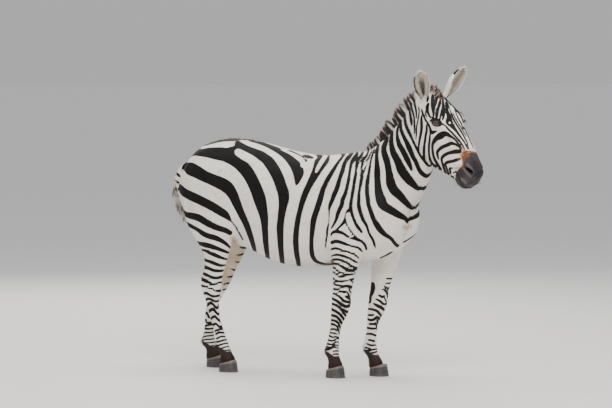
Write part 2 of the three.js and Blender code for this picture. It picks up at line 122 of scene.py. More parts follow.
DARK_STROKES = """
rump1 190 155.5 3 195 153.2 5 201.5 152.3 8.5 208 152.6 10 216 153.5 12.4 226 155 14 236 160.5 13.5 244
  168 13 251 178 12.5 256.5 190 12.5 260 200 12.5 264 217 8.5 265.3 230 7 266 243 6 268 259 4.5 269 268 4
rump2 238 145.5 9 246 149 7.5 256 153.5 9 265 158 10.5 271 165 11.5 276.5 175 12.5 280.5 186 12.5 284.2
  197 12 283.3 208 10.5 281 220 9.3 280.3 235 6.8 281 250 5.5 282.8 266 4.5
bridge 222 152.5 7 230 149.6 5 236.5 147.6 4.4 243 146.4 5
loin3 250 141 2.5 262 144 4 273 148.5 5.5 283 153.5 7.5 291 159.5 10 296.5 167 12 298.5 173 11 298 179 8.5
  297 184 5.5 296 188 2.5
loin4 289 150.8 2 297 154.5 2.5 303 158.5 3 307 161.5 2.5
spine1 304 155.5 2 309 157 3.5 313 158 2
spine2 318 158.5 4 322 160 3
spine3 203 145.5 2 212 142.3 3.5 222 139.8 4 236 139 4 252 138.6 3 262 140.6 2
barrel5 319 158 8 317 168 8 315 175 9 311.5 183 9 307.5 191 8.5 304 200 8 301 210 7 298.3 220 6.3 296.3
  235 6.4 296 248 5.8 297.5 258 5 299.5 268 4
barrel5b 328 154 5 326 161 6 322.5 167 6 318.5 173 6.5
haunch1 164 166 7 176 165 7.5 187 167 9 191 169 13 197 172 12.5 204 176 11.5 212 179.5 11.5 220 183 12.5
  227 187 12.5 232.5 194 10.5 236.5 203 9 241 213 7.5 246 223.5 6.5 250.5 236 5.5 253.5 246 4.5 255.5 253
  3
haunch2 166 180 5 174 183 5 180.5 187.5 5.5 184 192 8 190 195.5 9 200 200.2 9 210 205.2 9 219 210.5 8.5
  225 214.5 7.5 229 218.5 4 231 221 1.5
fold2 231 221 1 235.5 226.5 1.2 239.5 233.5 1.2 243 240 1
haunch3 168 198 4 177 206 4 185 213.5 4.6 190 215.5 6.5 198 217.5 7 204 221 7 211 225 6.5 218 228 6 225
  230.2 5.5 230 232.8 5
haunch4 174 213 3 183 221 3.4 192.5 226.8 3.8 198 229.8 3.9 203 233.5 5 209 236.2 5.5 215 237.8 5.5 221
  240.5 4.5 226 243.8 3.5 230.5 248 2
haunch5 182 234 3 191 240 3.2 199 243.2 3.4 204 244.5 5 210 246 5 216 248 4.2 222 250.3 3.5 228 252.5 2.5
  230.5 253 1.2
haunch6 190 246 2 198 249 2.4 205 250.5 2.6 210 253 3.5 216 255.5 4 222 258 3 227.5 259.3 2
haunch7 198 257 2.4 206.5 260.5 3 211 262 3.5 216 264 3.5 221 265.5 2.8 226 264.8 1.6
hock1 197 265 3 204.5 267 3.5 209 268.5 3 214 270.5 3 220 271 2.5 225 270.3 1.4
hock2 198 271.5 3 206 274.5 2.8 211 277 2.8 216 278 2.8 221 277 2.4 224 276 1.8
hock3 199 278 3.4 205 280.5 3.2 210 283 2.6 213 284.3 2.2 217 283.5 2 222 282.3 1.8 226 283.3 1.5
hock4 200 285 2.4 206 287 2 210 288 1.8 213 289.6 1.8 216 290.6 2 219 291 2.4 222 289.8 2 226 289 1.4
hock5 202 294.5 2.2 206 293 2.6 209 294.5 2.2 213 296.3 2.2 217 296 2 221 295 1.8 225 294.5 2.4
gaskin1 203 303 1.6 206.5 299.5 2.4 209 298.7 2.4 212 300 2.2 216 301.5 1.9 219 300.5 1.7 222 299.5 1.5
gaskin2 205.5 308 2 208 304.5 2.8 210.5 303 2.8 213 304.3 2.2 215.5 307 2.2 217.5 307.8 2.4 219.5 304.5
  1.8
gaskin3 209 312 2.4 211 309.8 3 213 309.3 3 215 311 2.4 217 313.5 2 219 314 2.4 221 311.5 1.8
shin1 211 319 2 213 317 2.6 215 316.5 2.4 217 318.5 2 219.5 320.5 2.4 222.5 321 2.4
shin2 212 325.5 2.6 215 323.8 2.4 217 324.5 1.8 219 326.5 1.8 224 326 2.2
shin3 208 330.6 1.4 213 332 1.8 216 330.5 1.8 219 329.5 1.8 223.5 328.5 1.8
shin4 208 335 1.4 212 335.3 1.7 216 334 1.7 219 332.5 1.9 224 332.8 1.6
shin5 207 339 1.2 212 339 1.5 217 338.5 1.5 221 336.5 1.4 226 336.6 1.2
shin6 207 343 1.4 213 342.5 1.5 219 341.5 1.6 225 339.8 1.3 229 340 1.2
shin7 213 346 1.6 219 345.2 1.6 225 343.4 1.2 230 343.4 1.2
shin8 216 349 1.8 221 348.6 1.5 226 346.8 1.1 231 346.8 1.1
shin9 218 352.4 2 223 351.6 1.4 227 350 1 231 350 1
wither6 346 150.8 2 343 155 4 338.6 160 5 335.3 165 5.2 332.6 170 5.3 330 175 5 327.4 180 4.8 325 185 4.8
  322.8 190 5.2 320 200 6 316.8 210 6 313.6 220 6 312.3 231 5 311.4 241 4.2 312 254 4.7 316 261 3.5 324
  263.8 2 333 264 1.5
wither7 353.5 150.8 2.5 350.5 155 4 346.4 160 3.5 344 165 4 342.8 170 4.4 341 175 4.2 339.3 180 4.2 338
  185 4.8 336.3 190 4.8 334 195 4.8 332.3 200 4.3 330.2 205 3.8 329 210 2 328.8 217 1.6 328.5 224 1.6
  327.2 230 2.3 326.9 236 2 326 241 2 325.7 247 1.2 327 252 .8
wither8 357.5 150.8 2.5 356.4 155 3.2 352.5 160 3.3 351 165 3.1 350 170 2.9 349.3 175 3 348.6 180 3.3
  347.5 185 3.4 346.3 190 3.6 344.8 195 4 342.5 200 4.4 341.8 205 4.3 339.2 210 4.2 337.5 215 3.8 336 220
  3 333.4 225 2.2 331 229 1.2
neck9 363 150.8 2.5 361.7 155 2.8 357.8 160 3.8 356.8 165 3.2 356.2 170 2.5 355.6 175 3 354.7 180 3.3 354
  185 3.2 353.1 190 3.4 352.2 195 3.3 351.4 200 3.3 350.7 205 3.8 351 210 3.6 352.3 215 3.2 354.2 220 3.2
  356.5 225 3.4 360 230 3.2 363 233.5 1.5
fork9a 349.5 209.5 3 346.5 212 2 345.3 215 1 345 218 1.5 344.8 221 3.5 342 224.5 2.5 338.5 228 2.2 336 231
  2.5
fork9b 344.8 221 3 347.5 226 2 350 230 2.2 353 234 2.2 356 237.5 2.5
neck10a 368.5 150.5 1.6 367 155 2.2 363.1 160 2.8 362 165 2.4 361.6 170 2.4 361 175 2 362 177 3.5 361.3
  180 3.6 360.5 185 3.3 359.5 190 2.8 358.9 195 3.2 358.8 200 3.6 358.7 205 4 359.7 210 4 361.3 215 3.8
  363.3 220 3.6 366.3 225 3.2 368 230 2.6 370 235 2.6 373 240 2.8 374.5 245 2.4 375.3 248.5 1
neck10b 371.5 150.5 1 369.8 155 1.2 367.3 160 1.7 365.8 165 1.4 364.6 170 1.4 363.5 175 1.6
neck11 374.5 149 1.2 372.4 155 2 371 160 1.9 370 165 2.3 369.4 170 2.8 368.6 175 3 367.8 180 3.9 367.2 185
  4.2 367 190 4.4 367.3 195 4.4 368 200 4.7 368.5 205 4.3 370.3 210 4.5 372 215 4.7 374 220 5 377 225 6
  380.4 230 6 385 234.5 4.8 389 237 3.8 392 239.5 3.6 394.5 243 3.6 398.5 246.5 3.4 403.5 250 3.4
neck12 378.5 145 2.5 377 151 3.6 376.7 155 3.4 376.8 160 4.1 377 165 5 377.2 170 6.1 377.3 175 6.4 377.4
  180 6.5 377.8 185 7 378.4 190 7.8 379.4 195 9 381 200 10.5 383 205 9.5 388 208.5 8.5 393 211.5 8 398
  214.5 7 402 216.5 6 405.5 218.7 4.5 408 222 4
neck13 387 135 3 386.2 141 4.5 384.2 146 5.2 383.8 150 5.6 384.8 155 6.4 386.5 160 6.8 387.8 165 6.6 388.6
  170 6.8 389.5 175 7.6 390.2 180 9 391.4 185 9.5 394 190 9.5 397 193 9 401.5 197.5 8 405.5 202 6.5 409.5
  206 5.5 412.5 208 4 415 210 4
neck14 392 131 3.5 391.3 140 4.2 391.6 145 5 392.5 150 6.1 394.5 155 6.8 397.2 160 7.5 399.5 165 8.3 401.5
  170 9.5 405 175 9.3 409 180 8.8 413.5 184.5 7 417.5 188 5 421 188 4
neck15 400.5 118 1 398.3 126 2 397.2 131 2.8 397.2 135 2.8 397.8 140 4 399.5 145 5 402.5 150 5.5 405 155
  5.6 407.5 160 5.6 409.8 165 4.5 411.5 169.5 3
neck16 401.3 119 1.5 400.8 127 2.8 402 132 3.5 404 137 4 406.5 142 4.5 408.8 147 5.5 411 152 5 413.2 157
  4.6 416 162 4.4 418 167 4.4 420 171 4.5 423.5 174.5 4.8 428 177 4
neck17 404.5 113 2.5 405 120 3 406.3 126 3.5 408.5 131 3.5 410.8 136 3 413 141 2.6 415.5 146 2.6 418 151
  2.6 421 156.5 2.6 424.5 161 3 428 165 3 431.5 166.3 2
latch1 408.5 102 1.6 409.5 110 2 410.5 116 2.4 411.3 121 2.6 411.7 125 1.4
latch2 411 102 1 411.6 107 1.7 412.6 111 1.9 413.7 115 1.7 414.3 119 1.5 414.4 124 1.8 414.5 129 1.2 414.3
  134 .7
latch3 415.3 96 1.4 414.7 100 1.5 414.8 104 2.1 415.8 109 1.9 416.4 113 1.5 416.4 118 .9
latch4 418.5 107.6 1.3 419.2 111 1 418.5 117 1.1 417.8 121 1.1 416.6 127 1.2 416.3 131 1.5 416.4 134.5 1.1
  415.9 139 .6
latch5 421.7 115.6 1.1 421.4 120 2.3 421.6 125 2.5 421.4 130 2.5 420.6 135 2.3 419.6 140 1.9 418.8 145 1.7
  418.6 150 1.5 418.9 154.5 .9
latch6 421.6 109.4 1 422.4 112.5 1.7 423.8 116 1.7 425.6 120 1.7 427.6 123 1.7 429.2 126 1.9 430.3 129 2.1
  431 131.5 3 431.8 132.6 3.3 434 132 2.6 436.6 131.1 1
latch7 426.6 124.8 1 426.7 128 1.9 426.6 131 2.1 425.8 135 2.1 425.1 140 2.1 424.4 145 2.1 424 150 2.4 424
  155 2.3 424.8 160 1.9 427.4 163.6 1.6
latch8 430 134.4 1.3 429.6 140 1.9 429 145 1.9 428.9 150 1.8 429.2 155 1.9 430.3 160 2.3 432.4 163.6 2.2
  436 166.6 2
face0 427.9 96.4 1.2 427.9 99 2 427 101.6 1.2
face1 428.4 103.6 2 427.5 106 3.2 427.2 109 3.2 427.6 111.5 2.6 428.8 114.5 2 430.2 117 1.8 432 117.6 1.2
face1b 425.8 111 1.2 425.7 114 1.3 426.6 117 .9
face2 433.3 91.5 1.4 432.9 95 2.4 432.6 98 3 432.2 101.5 2.4 432.3 105 2.6 433.2 108 3.8 433.3 111 2.6
  433.5 114 1.8 433.2 117.5 1.3
face3 437 90 1.5 437 94 2 436.6 98 2.6 435.7 101.5 2.8 434.9 104.5 2.6 433.8 107.5 2.2
face4 440.3 100.2 1.3 439.6 103.5 2.6 438.4 107.5 2.5 437.3 111 2.8 436.9 114 2.9 436.6 117 2.2
face5 442.9 100.6 1.5 443.2 105 2.3 443.2 108.5 3.2 442.9 111.5 4.3 442.8 113.6 4.2 443.5 116 2.2 442.7
  119.4 1.3
face5b 441 113.6 1.6 440.3 117 1.4 439.4 120.6 1.6
face6 446 102.4 1.5 446.6 107 2.4 447.4 112 2.9 448.5 115 3.6 449.1 118 4.4 448.9 120 5.4 449.2 122 6.4
  450.8 124.2 5 452.4 126 4.2 453.9 128 3.3 455.6 130 2.6 457.1 132 2.2 458.4 134 2 459.9 136 1.8 461.4
  138 1.5 462.8 140 1.4 464.3 142 1.3 466.4 146 1.1 467.6 149 .9
face7 450.2 110.2 .9 451.5 114 1.3 452.7 117.5 1.5 454.5 121 1.6 456.5 124.5 1.6 458.5 127.5 1.5 460 130
  1.6 462 133 1.6 463.5 135.5 1.5 465 138.5 1.3 467 142 1.2 468 146 .9 469.2 149.5 .8
face8 453.2 113.5 .8 455.2 118 1 456.5 120 1 458.7 124 1 460.7 127 1 462.5 130 1 464.2 132.6 1 466.4 136.6
  .7
face9 454.7 109.5 .9 457 115.5 1.1 458.5 119 1.2 460.7 122.5 1.2 462 125.5 1.1 463.5 129 1
face10 452 105 1.2 455 108.5 1.4 458 112 1.4 461 116 1.4 462.5 120 1.1 463.4 122.5 .9
face11 450 101.5 1 452 104 1.4 455 107 1.6 458 109.5 1.9 460.5 111.5 2 462.5 113.8 1.5 463.4 116.6 .9
face12 443.6 97 1 446 100 1.2 447.8 104 1.2 449.6 108.6 1
face13 445.4 97.6 .9 448.2 101 1 450.6 105.2 1
face14 463.8 127 .7 466.6 133 .9 469.4 139 .9 471.6 144 .9 473.6 148.6 .7
eyeline 429.8 121.4 .8 431.4 120.2 1.8 434 119.2 2.2 437.6 119.6 2.2 440.2 121.8 2.2 441.6 124 1.6
tear1 439.4 121.4 2.2 442 123.8 1.6 445 125.5 1.2 446.5 127 1.5 449 130 1.8 451.5 132.2 1.8 454 134.8 1.7
  456.5 137.5 1.6 459 140.2 1.6 461 143 1.4 463 146 1.3 464.5 149 1
cheek1 441 169.4 1.8 438 165 2.4 435.6 161 2.4 433.8 157 2.1 432.8 152 2.1 432.4 147 2 432.9 143.5 2.6
  434.6 140.6 3.8 437 138 4.6 440.3 136 6.4 443.8 134 5.4 447 134.2 3.9 449.5 135.7 2.8 452 137.2 1.9 455
  139.6 1.5 457.5 142.5 1.3 460 145.5 1.2 461.6 148.2 1
cheek2 438.6 159 1 437.5 155 2 437.6 151.5 2.6 440.7 148.2 3 444 146.3 3.2 447 145.2 3.4 450.7 143.5 3.2
  453.5 143.7 2.4 456.2 144.8 1.9 459 146.8 1.4 461 149.4 1.1
cheek3 446.4 173.6 1.2 444.8 170.5 1.6 443.9 168.2 1.9 443 165.5 1.9 442.3 162.7 1.8 441.6 160 1.9 442.3
  157.2 2.6 444.8 155 2.9 448 153.3 2.8 451.6 152.4 3.2 454.8 151.8 3.8 457.5 151.5 3.8 460 151.4 3.2
cheek4 449 175.4 1.2 448.2 172.7 1.4 447.1 169.5 1.6 446.2 166.8 1.6 445.2 164.3 2 447 162.5 2.8 449.8
  161.7 2.7 453 161.1 2.7 456.2 160 3 459.6 159 2
chin1 452.5 168.2 1.4 449.6 168.2 1.6 450.4 171 2 450.6 173.6 1.4
chin2 453.4 172.7 1.2 455.8 171.9 1.6
chin3 451.4 176 1.4 453.4 177.4 1.8
arm1 330.8 236 1.2 332 233 2 335 231.7 3 339 232 3 343 233.3 2.6 347 236 2.2 351 238 1.8 356 239 3 360
  240.5 2.6 363 242.5 2.4 365.5 246 2.2 366.5 249.8 1.8
arm2 332 242.5 3 337 241.3 3 344.7 243.7 2.5 350.7 245.9 1.8 355.3 246.7 2 359.3 248.5 2 362 251.3 1.3
arm3 331.5 249.3 1.7 336 248.2 1.9 341 250 1.8 348 252 1.6 354 254 1.7 358.5 258 1.2
arm4 332 256 1.2 337 254.6 1.7 343 256 1.8 349 258 1.8 354 261 1.8 357.5 262.7 1.4
arm5 332 260.5 1.5 337 259.3 1.8 343 261 1.8 348 263.5 1.9 352 266.5 1.9 358 268 1.4
arm6 331.5 264 1.6 337 264 1.8 341 266 2 346 269 2.8 351 270.5 2.4 357 269 1.5
arm7 331.5 267 2 336 269 2 340 272.5 2.2 345 274 2.4 350 274.5 2.4 357 273 1.6
arm8 331.5 270.8 1.9 336 274 1.9 340 276.8 2.2 345 276 1.6 348 274.8 1.4
arm9 331.5 277 2 336 280.5 2 341 281.5 2.2 346 280.5 2 351 279.5 2 356 277.8 1.6 351 280.3 1.8 354.5 283.5
  1.8
arm10 331.5 282.6 1.9 337 285 1.9 342 286.5 2.2 347 286 2.5 352 287.2 2.8
knee1 331.5 288 1.9 337 290 2 342 291.5 2.2 346 292 2 348.4 293.5 1.6 349.6 297 1.4
knee1b 349.3 289.5 1.4 350.6 292 1.3 352 295 1.2
knee2 331.5 293 2 337 295 2.1 341 298 2.3 344 301 2.6 351 302.6 2.3
knee2b 344.6 295.5 2 348.5 298.3 2.2 351 300 1.3
knee3 331.5 298 2.2 337 301 2.5 341 304 2.9 346 306.5 3 351 305.4 2.4
cannon1 331 303.4 2.1 336 305.2 2.3 340 308 2.4 341.4 310.3 1.6 344 313.5 2.3 346.6 316.4 1.8
cannon1b 342.4 308.9 1.6 347.6 312.2 2.4
cannon2 331 309 2.3 336 311.4 2.5 340 314.4 2.4 343 318 2.3 344.6 320.6 1.8
cannon3 331 315 2.4 336 316.4 2.4 339 319 2.4 341 322 2.4 342.6 324.6 1.7
cannon4 331 320 2.1 335 320.8 2.1 338 323 1.9 340 327 1.7 341.4 330.6 1.3
cannon5 331 324 2.1 334 324.6 2 337 326.5 1.6 338.5 330 1.4 339.4 334 1.2
cannon6 330 329.5 1.6 334 329 1.7 336.6 330.5 1.4
cannon7 329.6 332.6 1.3 334 333.2 1.4 337 334 .9
cannon8 329 335.6 1.7 333 337.3 1.3 336 336.5 1.2 339 338 1.1
cannon9 328 340 1.8 333 340.8 1.4 337 338.5 1.2 340 339 1
cannon10 327 343.5 1.6 332 344.5 1.4 336 342 1.2 340 342.6 .9
cannon11 326 346.6 1.6 331 347.5 1.4 335 345 1.2 340 346 .8
pastern1 333 351.5 .8 337 350.8 1.1 342 352.4 .8
pastern2 333 354.4 .9 337 354 1.2 342 355.6 .9
pastern3 333.4 357.4 1.1 338 357 1.3 343 358.6 1
cannon12 325 349.6 1.7 329 349.4 1.6 333 347.4 1.4 337 347.8 .9 340 349 .9
chest11 396 245 3.2 399.5 246.6 3.4 403 244.6 3
sternum 380 258 1.2 386 255.5 1.8 391 252.8 2.2 398 252 1.6
"""
PALE_STROKES = """
w1 201 148.8 .8 207 146.9 1.8 214 145.4 3 222 144.4 3.8 229 144 4.2 232.6 144.2 4.4
w3 238.4 152.4 7.4 245.5 156.5 8.5 254 161.5 8.5 261 168.5 8.5 266.3 177 9 270.8 188 9.5 273.5 200 10
  273.3 213 9.3 272.3 228 8.3 273 243 8.5 274.5 259 9 276 270 9
w4 241 140.3 1.2 249 143 3 258 146.3 4.2 266 150 5.2 274 155 6 281 161 7 286.5 168.5 7.3 290 176 7 291.5
  184 7 293.5 191 9 293 200 7.5 290.3 210 7.5 288 222 7.5 287.8 236 8.5 289 250 9 291 268 9
w5 281 149.4 1.2 290 153 2.5 297 157 4.2 302.5 161.5 5 302.5 165.5 4
chevron 312 154.5 2 316 157 2.5 312.5 160.5 2
w7 310 161 5 308.8 168 5.5 306.3 176 5.8 302.5 184 6.5 298 191 8
w8 326 155.5 3.5 321.5 162 4 318 168 3.5 316.2 172 2.2
w9 340 155.5 3 334 161 5.5 327 170 6.5 320.5 180 6.8 314 191 7 309.5 202 7.5 306 214 8 303.8 228 8.5 303.5
  243 9.5 305.5 262 9.5
dot 449.6 122.6 1.9 449.9 123 1.9
"""
# The insides of the left legs.
INNER_STROKES = """
thigh1 236.5 255.4 1.3 240 255 1.6 243.5 253.8 1.6
thigh2 239.4 247 1.4 244 247.8 1.7 247.6 247.2 1.6
thigh3 234.6 261.6 .8 240.2 262.6 1.4
thigh4 228 269.2 .9 233 269.6 1.6 237.4 270.4 1.6
thigh5 225.6 277.6 1 230 277 1.6 233.6 276 1.4
thigh6 223.6 284.2 1.4 229 283 1.4
thigh7 222.6 290 1 226 289 1
chestnut 372.4 284.6 4.4 371 288.6 7.4 370.6 292.6 5.6 370 295.4 3.4 370.4 299 1.8 369.8 302 1.8 367 303.4
  1.2
edge1 387 278.6 1.4 394.5 278.6 1.7
edge2 386 283.6 1.3 392 283 1.4
edge3 384 286 1.4 388 288.6 1.8 391 286.4 1.4
edge4 380 290.2 1.1 385 290.5 1.8 387 293 2 388 298 1.4
knee1 378.6 295 1.4 382 296.8 2.6 384.4 296 1.6
knee2 384.5 297.6 1.2 386.2 301.6 1.3
knee3 375.6 299 1.2 380 301 2.2 383 303.8 2 386.6 304.2 1.5
knee4 373.6 303.6 1.4 378 306 3 382 308 3 384.4 310.4 1.8
knee5 366 309.4 1.2 370 309 2 376 310.5 2.4 379 313 2.4 382.6 317.6 1.8
ring6 367.6 315 1.2 370 315.1 1.9 373.4 315 1.5
ring7 366 318 1.4 370 320 2 374 319.4 2.2 377 317 2.1 380 319.4 2.3 382 321.4 1.6
shank1 377 320 1.3 378.6 324 1.6 380.4 326.6 1.4
shank2 369.4 324 1.6 375 324 2
shank3 365.6 327.4 1.5 371 328.5 1.9 375.6 328.5 1.5
shank4 375.8 322.6 1 377 328 1.2 378.4 331.6 1
shank5 365 334 1.1 371 333.9 1.8 375.6 335.6 1.6
shank6 368.6 339.8 1.4 374 341 1.9
shank7 367 343.8 1.2 371 345.3 1.6 375.6 345 1.1
shank8 365.6 347.5 1.3 370 348.5 1.2
shank9 361.6 351.8 1.7 367 351 2 371 350 1.6 376.6 349 1
shank10 367.6 354 1.2 373 352.8 1.4 377 351.6 .9
"""
# Soft patches of other colours on the same sheet.
MUZZLE_STROKES = """
muzzle 475.6 155.8 4.6 470.2 156.6 7 468.6 160.5 8.6 467.6 165 9 467 170.5 12.6 463.4 175.6 14.4 460.5
  178.6 9.4 459.6 182 9 463 184 9 470 182 17 476 176 16 478 168 16 477 160.6 12.6 476 158 8
"""
RUST_STROKES = """
cheek 461.8 154.6 1.6 462.8 158 2.2 463.2 162 2 463 165.6 1.6 462.4 169 1.2
blaze 463.4 152.6 2.8 465.6 154 5 467.6 155 4.4
chin 464.4 156.4 3.4 464.2 160 2.4
fringe 461 148 1.2 464.6 150.6 1.8 468.4 151.6 1.8 472.4 152 1.8 476.4 153 1.4
spot 458.2 159 1.6 460.2 158.8 1.6
"""
# Painted highlights on the nose, as paler lines: the sheen of the upper lip and the light caught by the
# nostril's rim and wing.
PAINTED_SHEEN_STROKES = """
rim 463.8 168.4 1.2 466.2 172.2 2 470.4 176.4 1.8
lip 460.4 178.4 1.4 463.4 180.8 2.8 466 183 2
wing 467 164.6 1.4 471.4 168 1.6 473.6 172 1.2
"""
# The darker line on the nose: painted shade along the mouth's crease.
MOUTH_SHADE_STROKES = """
lips 455.4 171.7 .9 456.6 172.8 1 457.9 175.2 1.1 459.7 179 1.2 461.8 183 1.3 465 187 1.6 470 188 1.4 476
  185 1
"""
# Tan patches. The groin's is partly the skin's own tone and partly painted shade between the hind legs.
TAN_STROKES = """
belly 246 266 4 262 272 7 290 275 8 316 271 8 333 264 7
groin 233 238 4 236 250 8 236 262 8
smudge 404 227 4 406 228 4
lips 456.4 168.6 3 460 167 3
nose 450 151.5 2 458 151 3.4 462 157 3
tearing 447 134 1 452 142 1.6 458 146 1.6
"""


def named(text: str) -> dict[str, Array]:
    """The numbers that follow each name of a table, on its own line and the next ones."""
    rows: dict[str, list[float]] = {}
    for word in text.split():
        if word[0].isalpha():
            numbers = rows.setdefault(word, [])
        else:
            numbers.append(float(word))
    return {name: np.array(numbers) for name, numbers in rows.items()}


def chains(text: str) -> dict[str, Array]:
    """Each stroke's rows of place across, place down and width, by its name."""
    return {name: numbers.reshape(-1, 3) for name, numbers in named(text).items()}


def ease(value: Array | float, low: float, high: float) -> Array:
    """A smooth step from 0 at low to 1 at high, whichever of the two is greater."""
    t = np.clip((value - low) / (high - low), 0.0, 1.0)
    return t * t * (3.0 - 2.0 * t)


def bell(value: Array | float, middle: float, width: float) -> Array:
    """A smooth bump of height 1 around a middle value."""
    return np.exp(-(((value - middle) / width) ** 2))


def unit(vectors: Array) -> Array:
    """The vectors, each of length one."""
    return vectors / np.maximum(np.linalg.norm(vectors, axis=-1, keepdims=True), 1e-9)


def flowing(rows: Array, parts: int) -> Array:
    """A curve through rows of numbers.

    Args:
        rows: The rows that it passes through.
        parts: Steps from each row to the next.

    Returns:
        The rows of the smooth curve.
    """
    before = np.vstack([2 * rows[0] - rows[1], rows[:-1]])
    after = np.vstack([rows[1:], 2 * rows[-1] - rows[-2]])
    slope = (after - before) / 2
    t = (np.arange(parts) / parts)[None, :, None]
    a, b, da, db = (r[:, None, :] for r in (rows[:-1], rows[1:], slope[:-1], slope[1:]))
    curve = a * (2 * t**3 - 3 * t**2 + 1) + b * (3 * t**2 - 2 * t**3)
    curve = curve + da * (t**3 - 2 * t**2 + t) + db * (t**3 - t**2)
    return np.vstack([curve.reshape(-1, rows.shape[1]), rows[-1:]])


def along_chain(points: Array, chain: Array) -> tuple[Array, Array]:
    """How points lie to a chain of straight pieces.

    Args:
        points: The points, one to a row.
        chain: The chain's corners, with any further columns of values.

    Returns:
        The distance from every point to every piece, and the extra columns' values there.
    """
    size = points.shape[1]
    start, step = chain[:-1, :size], np.diff(chain[:, :size], axis=0)
    away = points[:, None, :] - start[None]
    t = np.clip((away * step).sum(2) / np.maximum((step * step).sum(1), 1e-12), 0.0, 1.0)
    far = np.linalg.norm(away - t[:, :, None] * step[None], axis=2)
    extra = chain[:-1, size:][None] + t[:, :, None] * np.diff(chain[:, size:], axis=0)[None]
    return far, extra


# ---- The stance and the drawing sheet ------------------------------------------------------------


@dataclass(frozen=True)
class Stance:
    """Carries the straight-laid animal into its stance and back."""

    middle: tuple[float, float] = (0.1645, -0.014)
    turn: float = math.radians(22)
    turn_from: float = 0.430
    turn_to: float = 0.880
    poll: tuple[float, float] = (0.896, 1.618)
    pitch: float = math.radians(47)
    scale: float = 1.04
    fore_shift: tuple = (
        (0, 0.16), (0.11, 0.132), (0.15, 0.12), (0.335, 0.098), (0.547, 0.09), (0.7, 0.086), (0.8, 0.05),
        (0.95, 0)
    )
    hind_shift: tuple = (
        (0, -0.222), (0.11, -0.236), (0.15, -0.238), (0.335, -0.178), (0.5, -0.11), (0.7, -0.062),
        (0.9, -0.018), (1, 0)
    )

    def angle(self, x: Array) -> Array:
        """The neck's bend at stations of the straight animal."""
        return self.turn * ease(x, self.turn_from, self.turn_to)

    @cached_property
    def spine(self) -> tuple[Array, Array, Array]:
        """Stations along the straight animal, and where the turn carries each in plan."""
        step = 0.002
        x = np.arange(-2.0, 2.4, step)
        angle = self.angle(x)
        ahead = x[0] + np.concatenate([[0], np.cumsum(np.cos((angle[1:] + angle[:-1]) / 2) * step)])
        aside = -np.concatenate([[0], np.cumsum(np.sin((angle[1:] + angle[:-1]) / 2) * step)])
        return x, ahead, aside

    def turned(self, points: Array) -> Array:
        """Points of the straight animal, carried into the stance."""
        x, ahead, aside = self.spine
        angle = self.angle(points[:, 0])
        across = np.interp(points[:, 0], x, ahead) + np.sin(angle) * points[:, 1] - self.middle[0]
        out = np.interp(points[:, 0], x, aside) + np.cos(angle) * points[:, 1] - self.middle[1]
        return np.stack([across, out, points[:, 2]], 1)

    def straight(self, points: Array) -> Array:
        """Points of the stance, laid straight again."""
        x, ahead, aside = self.spine
        px, py = points[:, 0] + self.middle[0], points[:, 1] + self.middle[1]
        at = px.copy()
        for _ in range(14):
            angle = self.angle(at)
            dx, dy = px - np.interp(at, x, ahead), py - np.interp(at, x, aside)
            at = at + dx * np.cos(angle) - dy * np.sin(angle)
        return np.stack([at, dx * np.sin(angle) + dy * np.cos(angle), points[:, 2]], 1)

    def headed(self, vectors: Array, at: Array) -> Array:
        """Directions of the straight animal at its stations, turned into the stance."""
        angle = self.angle(at)
        c, s = np.cos(angle), np.sin(angle)
        return np.stack(
            [c * vectors[:, 0] + s * vectors[:, 1], c * vectors[:, 1] - s * vectors[:, 0], vectors[:, 2]], 1
        )

    def measured(self, straight: Array) -> Array:
        """Straight points in the head's measures: down the face, to the side and above the face's line."""
        ahead = (straight[:, 0] - self.poll[0]) / self.scale
        up = (straight[:, 2] - self.poll[1]) / self.scale
        c, s = math.cos(self.pitch), math.sin(self.pitch)
        return np.stack([ahead * c - up * s, straight[:, 1] / self.scale, ahead * s + up * c], 1)

    def laid(self, measures: Array) -> Array:
        """The head's measures as points of the straight animal."""
        measures = np.atleast_2d(np.asarray(measures, float))
        c, s = math.cos(self.pitch), math.sin(self.pitch)
        ahead = measures[:, 0] * c + measures[:, 2] * s
        up = measures[:, 2] * c - measures[:, 0] * s
        x, y, z = (
            self.poll[0] + self.scale * ahead, self.scale * measures[:, 1], self.poll[1] + self.scale * up
        )
        return np.stack([x, y, z], 1)

    def on_head(self, measures: Array) -> Array:
        """The head's measures as points of the stance."""
        return self.turned(self.laid(measures))

    def folded(self, straight: Array) -> Array:
        """Straight points folded on to one side, the left legs set back to where the right ones stand."""
        x, y, z = straight.T
        fore = np.interp(z, *np.array(self.fore_shift).T) * ease(x, 0.05, 0.2)
        hind = np.interp(z, *np.array(self.hind_shift).T) * ease(x, -0.2, -0.35)
        return np.stack([x - np.where(y > 0, fore + hind, 0), np.abs(y), z], 1)

    def parts(self, points: Array) -> tuple[Array, Array, Array]:
        """The points straight, folded and in the head's measures."""
        straight = self.straight(points)
        return straight, self.folded(straight), self.measured(straight)


